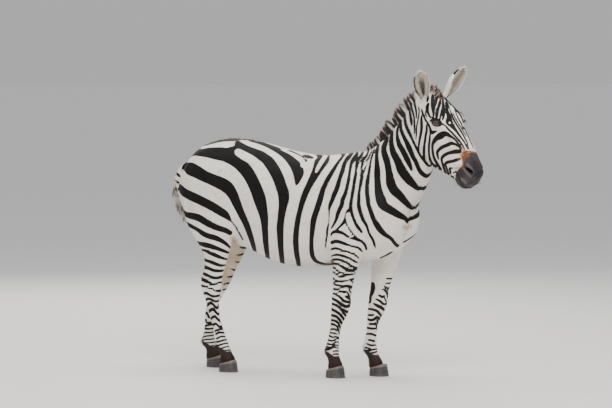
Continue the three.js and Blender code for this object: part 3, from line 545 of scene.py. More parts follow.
@dataclass(frozen=True)
class Sheet:
    """The drawing sheet and the camera that looks through it."""

    eye: tuple[float, float, float] = (9.3355, -16.4405, 1.83)
    heading: float = math.radians(30)
    pitch: float = math.atan(150 / 3330)
    reach: float = 3330.0
    middle: tuple[float, float] = (306.0, 204.0)
    width: float = 612.0

    @cached_property
    def axes(self) -> Array:
        """The camera's right, up and forward directions, one to a row."""
        s, c = math.sin(self.heading), math.cos(self.heading)
        sp, cp = math.sin(self.pitch), math.cos(self.pitch)
        return np.array([[c, s, 0], [-s * sp, c * sp, cp], [-s * cp, c * cp, -sp]])

    def lay(self, points: Array) -> tuple[Array, Array, Array]:
        """Where points of the stance fall on the sheet.

        Args:
            points: The points, one to a row.

        Returns:
            Place across, place down, and the metres that one unit of the sheet stands for there.
        """
        right, up, deep = ((points - np.array(self.eye)) @ self.axes.T).T
        across = self.middle[0] + self.reach * right / deep
        down = self.middle[1] - self.reach * up / deep
        return across, down, deep / self.reach

    def camera(self) -> None:
        """Makes the scene's camera."""
        lens = bpy.data.cameras.new("camera")
        lens.sensor_width = 36.0
        lens.lens = self.reach * lens.sensor_width / self.width
        lens.clip_end = 200.0
        made = bpy.data.objects.new("camera", lens)
        right, up, forward = self.axes
        turn = Matrix((right, up, -forward)).transposed().to_4x4()
        made.matrix_world = Matrix.Translation(self.eye) @ turn
        bpy.context.scene.collection.objects.link(made)
        bpy.context.scene.camera = made


STANCE = Stance()
SHEET = Sheet()


# ---- Markings ------------------------------------------------------------------------------------


@dataclass
class Markings:
    """Works out the stripes and patches for points of the skin or of the tufts that grow on it."""

    soft_edges: tuple = (
        ("face6", 0.4), ("face7", 0.25), ("face8", 0.2), ("face9", 0.2), ("face1", 0.2), ("face", 0.5),
        ("cheek", 0.55), ("latch", 0.4), ("tear", 0.35),
        ("chin", 0.3), ("arm1", 0.4), ("arm2", 0.6), ("arm3", 0.75), ("arm4", 0.75), ("arm5", 0.75),
        ("arm6", 0.6), ("arm", 0.1), ("hock", 0.3),
        ("gaskin", 0.3), ("shin", 0.35), ("knee", 0.35), ("cannon", 0.4), ("edge", 0.5), ("ring", 0.6),
        ("shank", 0.6), ("pastern", 0.6),
        ("thigh", 0.5), ("fold", 0.5), ("eyeline", 0.4), ("chestnut", 0.8), ("", 0.12),
    )
    rump_axis: float = -0.60
    rear_from: float = math.radians(58)
    ring_every: float = 0.042
    dock: tuple = (
        (-0.735, 0, 1.196, 0.026), (-0.804, 0.001, 1.172, 0.03), (-0.858, 0.004, 1.106, 0.027),
        (-0.876, 0.014, 1.03, 0.024), (-0.868, 0.046, 0.955, 0.02), (-0.85, 0.08, 0.9, 0.016)
    )

    def __post_init__(self) -> None:
        """Reads the drawings, and gives the dark strokes the soft edge that hair adds."""
        self.dark, self.pale, self.inner, self.muzzle, self.rust, self.tan, self.painted_sheen, self.lips = (
            [flowing(rows, 3) for rows in chains(text).values()]
            for text in (
                DARK_STROKES, PALE_STROKES, INNER_STROKES, MUZZLE_STROKES, RUST_STROKES, TAN_STROKES,
                PAINTED_SHEEN_STROKES, MOUTH_SHADE_STROKES
            )
        )
        names = [*chains(DARK_STROKES), *chains(INNER_STROKES)]
        for name, stroke in zip(names, (*self.dark, *self.inner)):
            more = next(extra for start, extra in self.soft_edges if name.startswith(start))
            wide = stroke[:, 2]
            swell = 1.0 if more < 0.2 else 1.04
            stroke[:, 2] = swell * wide + np.minimum(0.6 * np.maximum(wide, 0), more)

    @staticmethod
    def drawn(across: Array, down: Array, strokes: list[Array], reach: float = 7.0) -> Array:
        """How far points are inside a set of strokes.

        Args:
            across: Places across the sheet.
            down: Places down the sheet.
            strokes: The strokes.
            reach: The farthest that is told apart outside them.

        Returns:
            The depth inside the nearest stroke in the sheet's units, less than 0 outside it.
        """
        best = np.full(len(across), -reach)
        places = np.stack([across, down], 1)
        for stroke in strokes:
            wide = stroke[:, 2].max() / 2 + reach
            low, high = stroke[:, :2].min(0) - wide, stroke[:, :2].max(0) + wide
            near = np.flatnonzero(((places > low) & (places < high)).all(1))
            for group in np.array_split(near, len(near) // 20000 + 1):
                if len(group):
                    far, width = along_chain(places[group], stroke)
                    best[group] = np.maximum(best[group], (width[:, :, 0] / 2 - far).max(1))
        return best

    def flat(self, folded: Array) -> tuple[Array, Array, Array]:
        """Folded points on the sheet, with the hidden back of the rump rolled out beside its visible side."""
        away, out = self.rump_axis - folded[:, 0], folded[:, 1]
        around, radius = np.arctan2(away, out), np.hypot(away, out)
        rear = ease(folded[:, 2], 0.66, 0.78) * (away > 0)
        over = np.maximum(around - self.rear_from, 0.0) * rear
        angle = around - over
        x = np.where(over > 0, self.rump_axis - radius * np.sin(angle), folded[:, 0])
        y = np.where(over > 0, radius * np.cos(angle), out)
        across, down, size = SHEET.lay(STANCE.turned(np.stack([x, -y, folded[:, 2]], 1)))
        return across - over * radius / size, down, size

    def tail_rings(self, straight: Array) -> tuple[Array, Array]:
        """How much points belong to the tail, and the rings on it in metres."""
        chain = flowing(np.array(self.dock), 4)
        lengths = np.concatenate([[0], np.cumsum(np.linalg.norm(np.diff(chain[:, :3], axis=0), axis=1))])
        far, extra = along_chain(straight, np.column_stack([chain, lengths]))
        nearest = far.argmin(1)
        rows = np.arange(len(straight))
        place = extra[rows, nearest, 1]
        part = ease(place, 0.07, 0.11) * ease(far[rows, nearest] - extra[rows, nearest, 0], 0.02, 0.01)
        return part, 0.006 * np.sin(place * 2 * math.pi / self.ring_every) - 0.0012

    def paint(self, points: Array, normals: Array) -> dict[str, Array]:
        """The values of every mark at points of the skin.

        Args:
            points: The points, in the stance.
            normals: The skin's outward directions there.

        Returns:
            Values by the mark's name.
        """
        straight, folded, measures = STANCE.parts(points)
        x, _, z = folded.T
        across, down, size = self.flat(folded)
        ink = self.drawn(across, down, self.dark)
        ink = np.minimum(ink, -self.drawn(across, down, self.pale))
        left = straight[:, 1] > 0
        outward = normals[:, 1] * np.where(left, 1.0, -1.0)
        inside = ease(-outward, 0.3, 0.75) * ease(z, 0.86, 0.74)
        ink = ink - 3.0 * inside * ease(z, 0.3, 0.45)
        own_across, own_down, _ = SHEET.lay(points)
        head = ease(measures[:, 0], -0.03, 0.05) * ease(straight[:, 0], 0.8, 0.88)
        facing = np.flatnonzero(left & (head > 0.02) & (normals @ SHEET.axes[2] < 0.12))
        if len(facing):
            drawn = self.drawn(own_across[facing], own_down[facing], self.dark)
            drawn = np.minimum(drawn, -self.drawn(own_across[facing], own_down[facing], self.pale))
            share = head[facing]
            ink[facing] = ink[facing] * (1 - share) + drawn * share
            across, down = across.copy(), down.copy()
            across[facing], down[facing] = own_across[facing], own_down[facing]
        leg = np.where(straight[:, 0] > 0, 1.0, ease(z, 0.40, 0.46)) * ease(z, 0.78, 0.7)
        seen = ease(-(normals @ SHEET.axes[2]), -0.1, 0.2) * left * leg
        ink = ink * (1 - seen) + self.drawn(own_across, own_down, self.inner) * seen
        part, rings = self.tail_rings(straight)
        stripe = ink * size * (1 - part) + rings * part
        inner_part = np.maximum(inside, seen)
        tan = ease(self.drawn(across, down, self.tan), -2.5, 2.5)
        # The insides of the hind legs take tan: partly their own beige, partly painted shade on the inner
        # face of the far leg.
        tan = np.maximum(tan, 0.75 * inner_part * ease(z, 0.40, 0.52) * (x < 0))
        nose_end = ease(measures[:, 0], 0.12, 0.36) * head
        warm = 0.25 + 0.75 * nose_end + 0.5 * inner_part + 0.4 * ease(z, 0.75, 0.6)
        front = ease(normals[:, 0], -0.3, 0.6)
        foot = ease(z + 0.028 * front, 0.168, 0.132)
        return {
            Mark.STRIPE.value: np.clip(stripe, -0.04, 0.04),
            Mark.MUZZLE.value: ease(self.drawn(across, down, self.muzzle), -1.6, 0.6) * head,
            Mark.RUST.value: ease(self.drawn(across, down, self.rust), -0.9, 0.7) * head,
            # Painted highlight: the paler sheen on the nose.
            Mark.BLOOM.value: ease(self.drawn(across, down, self.painted_sheen), -1.2, 0.9) * head,
            # Painted shade: the dark line along the mouth's crease.
            Mark.LIPS.value: ease(self.drawn(across, down, self.lips), -0.6, 0.4) * head,
            Mark.TAN.value: tan,
            Mark.FOOT.value: foot * (z < 0.3),
            Mark.WARM.value: np.clip(warm, 0, 1),
            Mark.LEG.value: ease(z, 0.85, 0.7),
            Mark.FACE.value: head,
        }

    @staticmethod
    def lie(points: Array, normals: Array) -> Array:
        """The way the coat lies along the skin.

        Args:
            points: Points of the skin.
            normals: Its outward directions there.

        Returns:
            A direction along the skin for each point.
        """
        straight, folded, measures = STANCE.parts(points)
        down_leg = ease(folded[:, 2], 0.95, 0.7)[:, None]
        up_neck = ease(0.86 * (straight[:, 0] - 0.43) + 0.5 * (straight[:, 2] - 1.33), -0.1, 0.12)[:, None]
        head = (ease(measures[:, 0], -0.02, 0.06) * ease(straight[:, 0], 0.8, 0.88))[:, None]
        tail = ease(straight[:, 0], -0.8, -0.83)[:, None]
        way = np.array([-0.93, 0, -0.37]) * (1 - down_leg) + np.array([-0.12, 0, -1.0]) * down_leg
        way = way * (1 - up_neck) + np.array([-0.62, 0, -0.78]) * up_neck
        way = way * (1 - tail) + np.array([0.0, 0, -1.0]) * tail
        low = ease(measures[:, 2], -0.1, -0.2)[:, None]
        face = np.array([math.cos(0.82), 0, -math.sin(0.82)]) * (1 - low) + np.array([-0.55, 0, -0.83]) * low
        way = STANCE.headed(way * (1 - head) + face * head, straight[:, 0])
        return unit(way - (way * normals).sum(1, keepdims=True) * normals)


# ---- Meshes --------------------------------------------------------------------------------------


def place_points(mesh: bpy.types.Mesh) -> Array:
    """The mesh's points as rows."""
    flat = np.empty(len(mesh.vertices) * 3)
    mesh.vertices.foreach_get("co", flat)
    return flat.reshape(-1, 3)


def set_points(mesh: bpy.types.Mesh, points: Array) -> None:
    """Moves the mesh's points."""
    mesh.vertices.foreach_set("co", points.astype(np.float32).ravel())
    mesh.update()


def directions(mesh: bpy.types.Mesh) -> Array:
    """The outward direction at each of the mesh's points."""
    flat = np.empty(len(mesh.vertices) * 3, np.float32)
    mesh.vertex_normals.foreach_get("vector", flat)
    return flat.reshape(-1, 3).astype(float)


def pairs(mesh: bpy.types.Mesh) -> Array:
    """The mesh's edges as pairs of points."""
    flat = np.empty(len(mesh.edges) * 2, np.int32)
    mesh.edges.foreach_get("vertices", flat)
    return flat.reshape(-1, 2)


def relaxed(
    points: Array, edges: Array, share: Array | float, rounds: int, back: Array | float = 0.0
) -> Array:
    """Points eased towards their neighbours.

    Args:
        points: The points.
        edges: Which of them are neighbours.
        share: How far each goes in a round, of the way to its neighbours' middle.
        rounds: The number of rounds.
        back: How far each then returns, so that thin parts keep their girth.

    Returns:
        The eased points.
    """
    size = len(points)
    a, b = edges.T
    count = np.maximum(np.bincount(a, minlength=size) + np.bincount(b, minlength=size), 1)[:, None]
    shares = [np.broadcast_to(np.asarray(s, float), size)[:, None] for s in (share, -np.asarray(back, float))]
    for _ in range(rounds):
        for part in shares:
            if part.any():
                total = [
                    np.bincount(a, points[b, k], size) + np.bincount(b, points[a, k], size)
                    for k in range(3)
                ]
                points = points + part * (np.stack(total, 1) / count - points)
    return points


def set_mark(mesh: bpy.types.Mesh, name: str, values: Array) -> None:
    """Stores a value for each of the mesh's points."""
    found = mesh.attributes.get(name) or mesh.attributes.new(name, "FLOAT", "POINT")
    found.data.foreach_set("value", np.ascontiguousarray(values, np.float32))


def linked(name: str, mesh: bpy.types.Mesh) -> bpy.types.Object:
    """A new object with the mesh, in the scene."""
    made = bpy.data.objects.new(name, mesh)
    bpy.context.scene.collection.objects.link(made)
    return made


def faced(mesh: bpy.types.Mesh) -> None:
    """Turns a mesh's faces outward and shades them smoothly."""
    bm = bmesh.new()
    bm.from_mesh(mesh)
    bmesh.ops.recalc_face_normals(bm, faces=bm.faces)
    bm.to_mesh(mesh)
    bm.free()
    mesh.shade_smooth()


def settled(bm: bmesh.types.BMesh, name: str) -> bpy.types.Mesh:
    """The shape as a smooth-shaded mesh, with its faces outward."""
    mesh = bpy.data.meshes.new(name)
    bm.to_mesh(mesh)
    bm.free()
    faced(mesh)
    return mesh


def finished(
    made: bpy.types.Object, material: bpy.types.Material, slot: Slot, *nodes: str
) -> bpy.types.Object:
    """A piece with its material and its place on the body, standing for the nodes."""
    made.data.materials.clear()
    made.data.materials.append(material)
    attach(made, BODY)
    if nodes:
        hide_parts(*nodes)
    made.data.calc_loop_triangles()
    log.info("%s: %d triangles", made.name, len(made.data.loop_triangles))
    return made


@dataclass
class Strands:
    """Many tapering three-sided strands as one mesh, each along its own spine."""

    spines: Array
    width: Array
    flat: float
    upward: Array
    roots: Array
    marks: dict[str, Array] = field(default_factory=dict)
    tip: float = 0.0
    patch: float = 0.003

    def build(self, name: str) -> bpy.types.Object:
        """Makes the mesh.

        Args:
            name: The piece's name.

        Returns:
            The new object, with its marks and its map for baking.
        """
        count, steps = self.spines.shape[:2]
        ahead = unit(np.gradient(self.spines, axis=1))
        side = unit(np.cross(ahead, self.upward[:, None, :]))
        top = unit(np.cross(side, ahead))
        place = np.linspace(0, 1, steps)
        swell = 0.62 + 0.38 * np.sin(np.clip(place * 2.2, 0, math.pi / 2))
        girth = (1 - (1 - self.tip) * place**1.6) * swell
        rings = []
        for k in range(3):
            angle = 2 * math.pi * k / 3 + math.pi / 2
            arm = side * math.cos(angle) + top * math.sin(angle) * self.flat
            rings.append(self.spines + arm * (girth[None, :, None] * self.width[:, None, None] / 2))
        body = np.stack(rings, 2)[:, :-1].reshape(count, -1, 3)
        points = np.concatenate([body, self.spines[:, -1:]], 1)
        per = points.shape[1]
        quads, ends = [], []
        for i in range(steps - 2):
            for k in range(3):
                n = (k + 1) % 3
                near = [(3 * i + k, k, i), (3 * i + n, k + 1, i)]
                quads.append([*near, (3 * i + 3 + n, k + 1, i + 1), (3 * i + 3 + k, k, i + 1)])
        last = 3 * (steps - 2)
        for k in range(3):
            n = (k + 1) % 3
            tip = (per - 1, k + 0.5, steps - 1)
            ends.append([(last + k, k, steps - 2), (last + n, k + 1, steps - 2), tip])
        ends.append([(2, 2, 0), (1, 1, 0), (0, 0, 0)])
        corners = np.array([c for f in quads + ends for c in f], float)
        totals = np.array([len(f) for f in quads + ends], np.int32)
        first = per * np.arange(count, dtype=np.int32)
        loops = (corners[:, 0].astype(np.int32)[None] + first[:, None]).ravel()
        spread = np.stack([corners[:, 1] / 3 - 0.5, corners[:, 2] / (steps - 1) - 0.5], 1) * self.patch
        uv = np.clip(self.roots, 0.003, 0.997)[:, None, :] + spread[None]
        mesh = bpy.data.meshes.new(name)
        mesh.vertices.add(count * per)
        mesh.vertices.foreach_set("co", points.astype(np.float32).ravel())
        mesh.loops.add(len(loops))
        mesh.loops.foreach_set("vertex_index", loops)
        faces = np.tile(totals, count)
        mesh.polygons.add(len(faces))
        mesh.polygons.foreach_set("loop_start", np.concatenate([[0], np.cumsum(faces)[:-1]]).astype(np.int32))
        mesh.polygons.foreach_set("loop_total", faces)
        mesh.update(calc_edges=True)
        mesh.uv_layers.new(name="OFBake").uv.foreach_set("vector", uv.astype(np.float32).ravel())
        mesh.shade_smooth()
        ladder = np.concatenate([np.repeat(place[:-1], 3), place[-1:]])
        for key, values in self.marks.items():
            set_mark(mesh, key, np.repeat(values, per))
        set_mark(mesh, Mark.ALONG.value, np.tile(ladder, count))
        return linked(name, mesh)


# ---- Materials -----------------------------------------------------------------------------------


class Wiring:
    """Adds nodes to one tree and links them."""

    def __init__(self, tree: bpy.types.NodeTree) -> None:
        """Starts on a tree."""
        self.tree = tree

    def add(self, kind: str, settings: dict | None = None, inputs: dict | None = None) -> bpy.types.Node:
        """A new node.

        Args:
            kind: The node's type, without its leading words.
            settings: Its properties.
            inputs: Values or sockets for its inputs, by name or number.

        Returns:
            The node.
        """
        node = self.tree.nodes.new("ShaderNode" + kind)
        for key, value in (settings or {}).items():
            setattr(node, key, value)
        for key, value in (inputs or {}).items():
            self.put(node, key, value)
        return node

    def put(self, node: bpy.types.Node, key: str | int, value: object) -> None:
        """Links or sets one of a node's inputs."""
        if isinstance(value, bpy.types.NodeSocket):
            self.tree.links.new(value, node.inputs[key])
        else:
            node.inputs[key].default_value = value

    def mark(self, name: Mark) -> bpy.types.NodeSocket:
        """The value of a mark."""
        return self.add("Attribute", {"attribute_name": name.value}).outputs["Fac"]

    def maths(self, how: str, a: object, b: object = 0.0) -> bpy.types.NodeSocket:
        """Two values put together."""
        return self.add("Math", {"operation": how}, {0: a, 1: b}).outputs[0]

    def times(self, a: object, b: object) -> bpy.types.NodeSocket:
        """One value times another."""
        return self.maths("MULTIPLY", a, b)

    def plus(self, a: object, b: object) -> bpy.types.NodeSocket:
        """One value added to another."""
        return self.maths("ADD", a, b)

    def less(self, a: object, b: object) -> bpy.types.NodeSocket:
        """One value taken from another."""
        return self.maths("SUBTRACT", a, b)

    def step(
        self, value: object, low: object, high: object, low_to: float = 0.0, high_to: float = 1.0
    ) -> bpy.types.NodeSocket:
        """A smooth step of a value."""
        inputs = {"Value": value, "From Min": low, "From Max": high, "To Min": low_to, "To Max": high_to}
        return self.add("MapRange", {"interpolation_type": "SMOOTHSTEP"}, inputs).outputs["Result"]

    def blend(self, share: object, a: object, b: object) -> bpy.types.NodeSocket:
        """Colour b over colour a."""
        node = self.add("Mix", {"data_type": "RGBA"}, {0: share, 6: a, 7: b})
        return node.outputs[2]

    def noise(
        self, where: object, scale: float, detail: float = 2.0, rough: float = 0.5
    ) -> bpy.types.NodeSocket:
        """Cloudy noise."""
        inputs = {"Vector": where, "Scale": scale, "Detail": detail, "Roughness": rough}
        return self.add("TexNoise", None, inputs).outputs["Fac"]

    def stretched(self, where: object, turn: tuple, scale: tuple) -> bpy.types.NodeSocket:
        """Places turned and then stretched, so that noise becomes streaks."""
        turned = self.add("Mapping", None, {"Vector": where, "Rotation": turn}).outputs[0]
        return self.add("Mapping", None, {"Vector": turned, "Scale": scale}).outputs[0]


class Surface(Wiring):
    """A new material's wiring, which ends in its shader."""

    def __init__(self, name: str) -> None:
        """Makes the material."""
        self.made = bpy.data.materials.new(name)
        self.made.use_nodes = True
        super().__init__(self.made.node_tree)
        self.shader = self.tree.nodes["Principled BSDF"]
        self.where = self.add("TexCoord").outputs["Object"]

    def dimmed(self, colour: object, light: object) -> bpy.types.NodeSocket:
        """A colour made lighter or darker."""
        grey = self.add("CombineColor", None, {0: light, 1: light, 2: light}).outputs[0]
        how = {"data_type": "RGBA", "blend_type": "MULTIPLY"}
        return self.add("Mix", how, {0: 1.0, 6: colour, 7: grey}).outputs[2]

    def swayed(self, value: object, noise: object, by: float) -> bpy.types.NodeSocket:
        """A value moved up and down by a noise."""
        return self.plus(value, self.times(self.less(noise, 0.5), by))

    def finish(
        self, colour: object, rough: object, height: object = None, strength: float = 0.0,
        deep: float = 0.0012
    ) -> bpy.types.Material:
        """Gives the shader its colour, roughness and relief.

        Args:
            colour: The base colour.
            rough: The roughness.
            height: The relief, if it has one.
            strength: The relief's strength.
            deep: The relief's depth.

        Returns:
            The material.
        """
        self.put(self.shader, "Base Color", colour)
        self.put(self.shader, "Roughness", rough)
        if height is not None:
            relief = self.add("Bump", None, {"Strength": strength, "Distance": deep, "Height": height})
            self.put(self.shader, "Normal", relief.outputs[0])
        return self.made


def rgb(red: float, green: float, blue: float) -> tuple[float, float, float, float]:
    """A colour as a shader takes it."""
    return (red, green, blue, 1.0)


def new_group(
    name: str, takes: dict[str, tuple[str, object]], gives: dict[str, str]
) -> tuple[bpy.types.NodeTree, Wiring, dict, dict]:
    """A node group with named sockets.

    Args:
        name: The group's name.
        takes: Each input's kind of socket and first value.
        gives: Each output's kind of socket.

    Returns:
        The group, its wiring, its inputs within, and the sockets to link its outputs to.
    """
    tree = bpy.data.node_groups.new(name, "ShaderNodeTree")
    for key, (kind, value) in takes.items():
        tree.interface.new_socket(key, in_out="INPUT", socket_type=kind).default_value = value
    for key, kind in gives.items():
        tree.interface.new_socket(key, in_out="OUTPUT", socket_type=kind)
    entry, leave = tree.nodes.new("NodeGroupInput"), tree.nodes.new("NodeGroupOutput")
    return tree, Wiring(tree), {k: entry.outputs[k] for k in takes}, {k: leave.inputs[k] for k in gives}


class HairGrain:
    """Streaks of hair that follow the lie of the coat, shared by skin and tufts."""

    _tree: bpy.types.NodeTree | None = None

    @classmethod
    def tree(cls) -> bpy.types.NodeTree:
        """The group, made at its first use."""
        if cls._tree is None:
            cls._tree = cls._made()
        return cls._tree

    @staticmethod
    def _made() -> bpy.types.NodeTree:
        """Builds the group."""
        takes = {
            "Scale": ("NodeSocketFloat", 1.0), "Leg": ("NodeSocketFloat", 0.0),
            "Face": ("NodeSocketFloat", 0.0)
        }
        tree, w, ins, outs = new_group(
            "hair grain", takes, {"Grain": "NodeSocketFloat", "Cloud": "NodeSocketFloat"}
        )
        where = w.add("TexCoord").outputs["Object"]
        scaled = w.add("VectorMath", {"operation": "SCALE"}, {0: where, "Scale": ins["Scale"]}).outputs[0]
        ways = [
            ((0, math.radians(-22), 0), (60, 420, 420)), ((0, 0, 0), (420, 420, 60)),
            ((0, math.radians(47), math.radians(-22)), (90, 520, 520))
        ]
        body, leg, face = (w.noise(w.stretched(scaled, turn, scale), 1.0, 3.0, 0.6) for turn, scale in ways)
        mixed = w.add("Mix", None, {0: ins["Leg"], 2: body, 3: leg}).outputs[0]
        mixed = w.add("Mix", None, {0: ins["Face"], 2: mixed, 3: face}).outputs[0]
        tree.links.new(mixed, outs["Grain"])
        tree.links.new(w.noise(scaled, 9.0, 4.0, 0.55), outs["Cloud"])
        return tree


@dataclass(frozen=True)
class CoatColours:
    """The colours of the hide and its tufts."""

    pale: tuple = rgb(0.86, 0.825, 0.765)
    cream: tuple = rgb(0.76, 0.69, 0.585)
    # The stripes' black, its faint purple tint a painted reflection of the coat's bluish sheen.
    dark: tuple = rgb(0.0045, 0.0038, 0.0052)
    brown: tuple = rgb(0.020, 0.0095, 0.0062)
    tan: tuple = rgb(0.42, 0.27, 0.14)
    muzzle: tuple = rgb(0.026, 0.020, 0.024)
    snout: tuple = rgb(0.062, 0.047, 0.052)
    # The painted highlight's paler grey on the nose.
    painted_sheen: tuple = rgb(0.125, 0.10, 0.10)
    chestnut: tuple = rgb(0.115, 0.035, 0.010)
    rust: tuple = rgb(0.24, 0.080, 0.020)
    foot: tuple = rgb(0.034, 0.021, 0.018)
    lid: tuple = rgb(0.016, 0.0105, 0.0095)
    # Near-black painted shade inside the nostrils and deep in the ears.
    hollow: tuple = rgb(0.004, 0.003, 0.003)


@dataclass(frozen=True)
class CoatFinish:
    """The hide's material, bare for the skin or as hair for the tufts."""

    name: str
    bump: float
    rough: float
    tips: float
    colours: CoatColours = CoatColours()

    def material(self) -> bpy.types.Material:
        """Builds the material."""
        w = Surface(self.name)
        leg, face, shade = w.mark(Mark.LEG), w.mark(Mark.FACE), w.mark(Mark.SHADE)
        grain = w.add("Group", {"node_tree": HairGrain.tree()}, {"Scale": 1.0, "Leg": leg, "Face": face})
        streak, cloud = grain.outputs["Grain"], grain.outputs["Cloud"]
        c = self.colours
        ink = w.step(w.swayed(w.mark(Mark.STRIPE), streak, 0.0055), -0.0007, 0.0007)
        pale = w.blend(w.step(cloud, 0.42, 0.75, 0.0, 0.55), c.pale, c.cream)
        pale = w.blend(w.step(streak, 0.35, 0.75, 0.0, 0.25), pale, c.cream)
        pale = w.blend(w.times(w.mark(Mark.TAN), w.step(cloud, 0.2, 0.6, 0.55, 0.95)), pale, c.tan)
        dark = w.blend(w.times(w.mark(Mark.WARM), w.step(streak, 0.3, 0.7, 0.3, 1.0)), c.dark, c.brown)
        colour = w.blend(ink, pale, dark)
        # Painted highlight: the sheen of the upper lip and the nostril rims, a paler grey over the muzzle.
        painted_sheen = w.times(w.mark(Mark.BLOOM), w.step(cloud, 0.3, 0.6, 0.5, 1.0))
        nose = w.blend(painted_sheen, w.blend(w.step(cloud, 0.35, 0.7), c.muzzle, c.snout), c.painted_sheen)
        for mark, over in ((Mark.FOOT, c.foot), (Mark.MUZZLE, nose)):
            colour = w.blend(w.step(w.swayed(w.mark(mark), streak, 0.8), 0.25, 0.7), colour, over)
        rust = w.blend(w.step(streak, 0.3, 0.7), c.rust, c.chestnut)
        colour = w.blend(w.times(w.mark(Mark.RUST), w.step(cloud, 0.25, 0.6, 0.9, 1.0)), colour, rust)
        # Painted shade goes on by the mouth-shade mark along the mouth's crease and by the hollow mark in the
        # nostrils and deep in the ears. The lid mark is the eyelids' dark skin, and painted shade deep in the
        # ears.
        for mark, over in ((Mark.LIPS, c.lid), (Mark.LID, c.lid), (Mark.HOLLOW_SHADE_AND_PUPIL, c.hollow)):
            colour = w.blend(w.mark(mark), colour, over)
        light = w.plus(w.step(streak, 0.25, 0.8, 0.86, 1.08), w.times(shade, 0.14))
        light = w.times(light, w.step(w.mark(Mark.ALONG), 0.0, 1.0, 1.0, self.tips))
        colour = w.dimmed(colour, light)
        bare = w.maths("MAXIMUM", w.mark(Mark.MUZZLE), w.mark(Mark.LID))
        mottle = w.plus(w.times(streak, 0.5), w.times(cloud, 0.5))
        rough = w.step(mottle, 0.2, 0.8, self.rough - 0.08, self.rough + 0.08)
        rough = w.less(rough, w.times(bare, 0.16))
        cells = {"Vector": w.where, "Scale": 420.0}
        pores = w.add("TexVoronoi", {"feature": "DISTANCE_TO_EDGE"}, cells).outputs["Distance"]
        pitted = w.plus(w.times(pores, 0.8), w.times(streak, 0.5))
        height = w.add("Mix", None, {0: bare, 2: streak, 3: pitted}).outputs[0]
        w.put(w.shader, "Specular IOR Level", 0.16)
        return w.finish(colour, rough, height, self.bump)


@dataclass(frozen=True)
class BristleFinish:
    """Mane, forelock and tail hair, dark or pale by its stripe, with browner tips."""

    name: str
    tip: tuple
    tip_from: float
    pale: tuple = rgb(0.74, 0.69, 0.61)
    dark: tuple = rgb(0.022, 0.016, 0.016)
    rough: float = 0.55

    def material(self) -> bpy.types.Material:
        """Builds the material."""
        w = Surface(self.name)
        streak = w.noise(w.stretched(w.where, (0, 0, 0), (700, 700, 60)), 1.0, 2.0)
        along, shade = w.mark(Mark.ALONG), w.mark(Mark.SHADE)
        colour = w.blend(w.step(w.mark(Mark.STRIPE), -0.001, 0.001), self.pale, self.dark)
        reach = w.plus(along, w.times(shade, 0.16))
        tip = w.times(w.step(reach, self.tip_from, self.tip_from + 0.3), w.less(1.0, w.mark(Mark.TAN)))
        colour = w.blend(tip, colour, self.tip)
        light = w.plus(w.step(streak, 0.3, 0.7, 0.8, 1.15), w.times(shade, 0.22))
        colour = w.dimmed(colour, light)
        w.put(w.shader, "Specular IOR Level", 0.35)
        rough = w.step(streak, 0.3, 0.7, self.rough - 0.1, self.rough + 0.1)
        return w.finish(colour, rough, streak, 0.4, 0.0006)


@dataclass(frozen=True)
class HornFinish:
    """Hoof horn, with growth rings, a pale band under the hair and dust at the ground."""

    def material(self) -> bpy.types.Material:
        """Builds the material."""
        w = Surface("hoof horn")
        up = w.mark(Mark.ALONG)
        grain = w.noise(w.stretched(w.where, (0, 0, 0), (90, 90, 9)), 1.0, 4.0, 0.6)
        cloud = w.noise(w.where, 30.0, 4.0, 0.6)
        rings = w.noise(w.add("CombineXYZ", None, {2: w.times(up, 14.0)}).outputs[0], 1.0, 2.0)
        colour = w.blend(w.step(grain, 0.35, 0.7), rgb(0.028, 0.026, 0.031), rgb(0.060, 0.055, 0.058))
        colour = w.blend(w.step(rings, 0.45, 0.65, 0.0, 0.4), colour, rgb(0.095, 0.084, 0.078))
        colour = w.blend(w.step(w.swayed(up, cloud, 0.25), 0.78, 0.92), colour, rgb(0.17, 0.13, 0.10))
        dust = w.step(w.swayed(up, cloud, 0.5), 0.22, 0.0, 0.0, 0.6)
        colour = w.blend(dust, colour, rgb(0.16, 0.105, 0.07))
        height = w.plus(w.times(grain, 0.6), rings)
        return w.finish(colour, w.step(cloud, 0.3, 0.7, 0.38, 0.62), height, 0.5)


@dataclass(frozen=True)
class EyeFinish:
    """A wet brown eye: a rim of dark white, the iris and a long pupil."""

    def material(self) -> bpy.types.Material:
        """Builds the material."""
        w = Surface("wet eye")
        out, pupil = w.mark(Mark.ALONG), w.mark(Mark.HOLLOW_SHADE_AND_PUPIL)
        fibres = w.noise(w.where, 900.0, 4.0, 0.7)
        iris = w.blend(w.step(fibres, 0.3, 0.7), rgb(0.080, 0.026, 0.013), rgb(0.150, 0.055, 0.027))
        iris = w.blend(w.step(out, 0.45, 0.72), iris, rgb(0.030, 0.012, 0.008))
        colour = w.blend(w.step(pupil, 1.15, 0.85), iris, rgb(0.002, 0.002, 0.003))
        colour = w.blend(w.step(out, 0.78, 0.9), colour, rgb(0.030, 0.014, 0.011))
        w.put(w.shader, "Coat Weight", 0.4)
        w.put(w.shader, "Coat Roughness", 0.02)
        return w.finish(colour, w.step(fibres, 0.2, 0.8, 0.05, 0.12))


# ---- The skin ------------------------------------------------------------------------------------


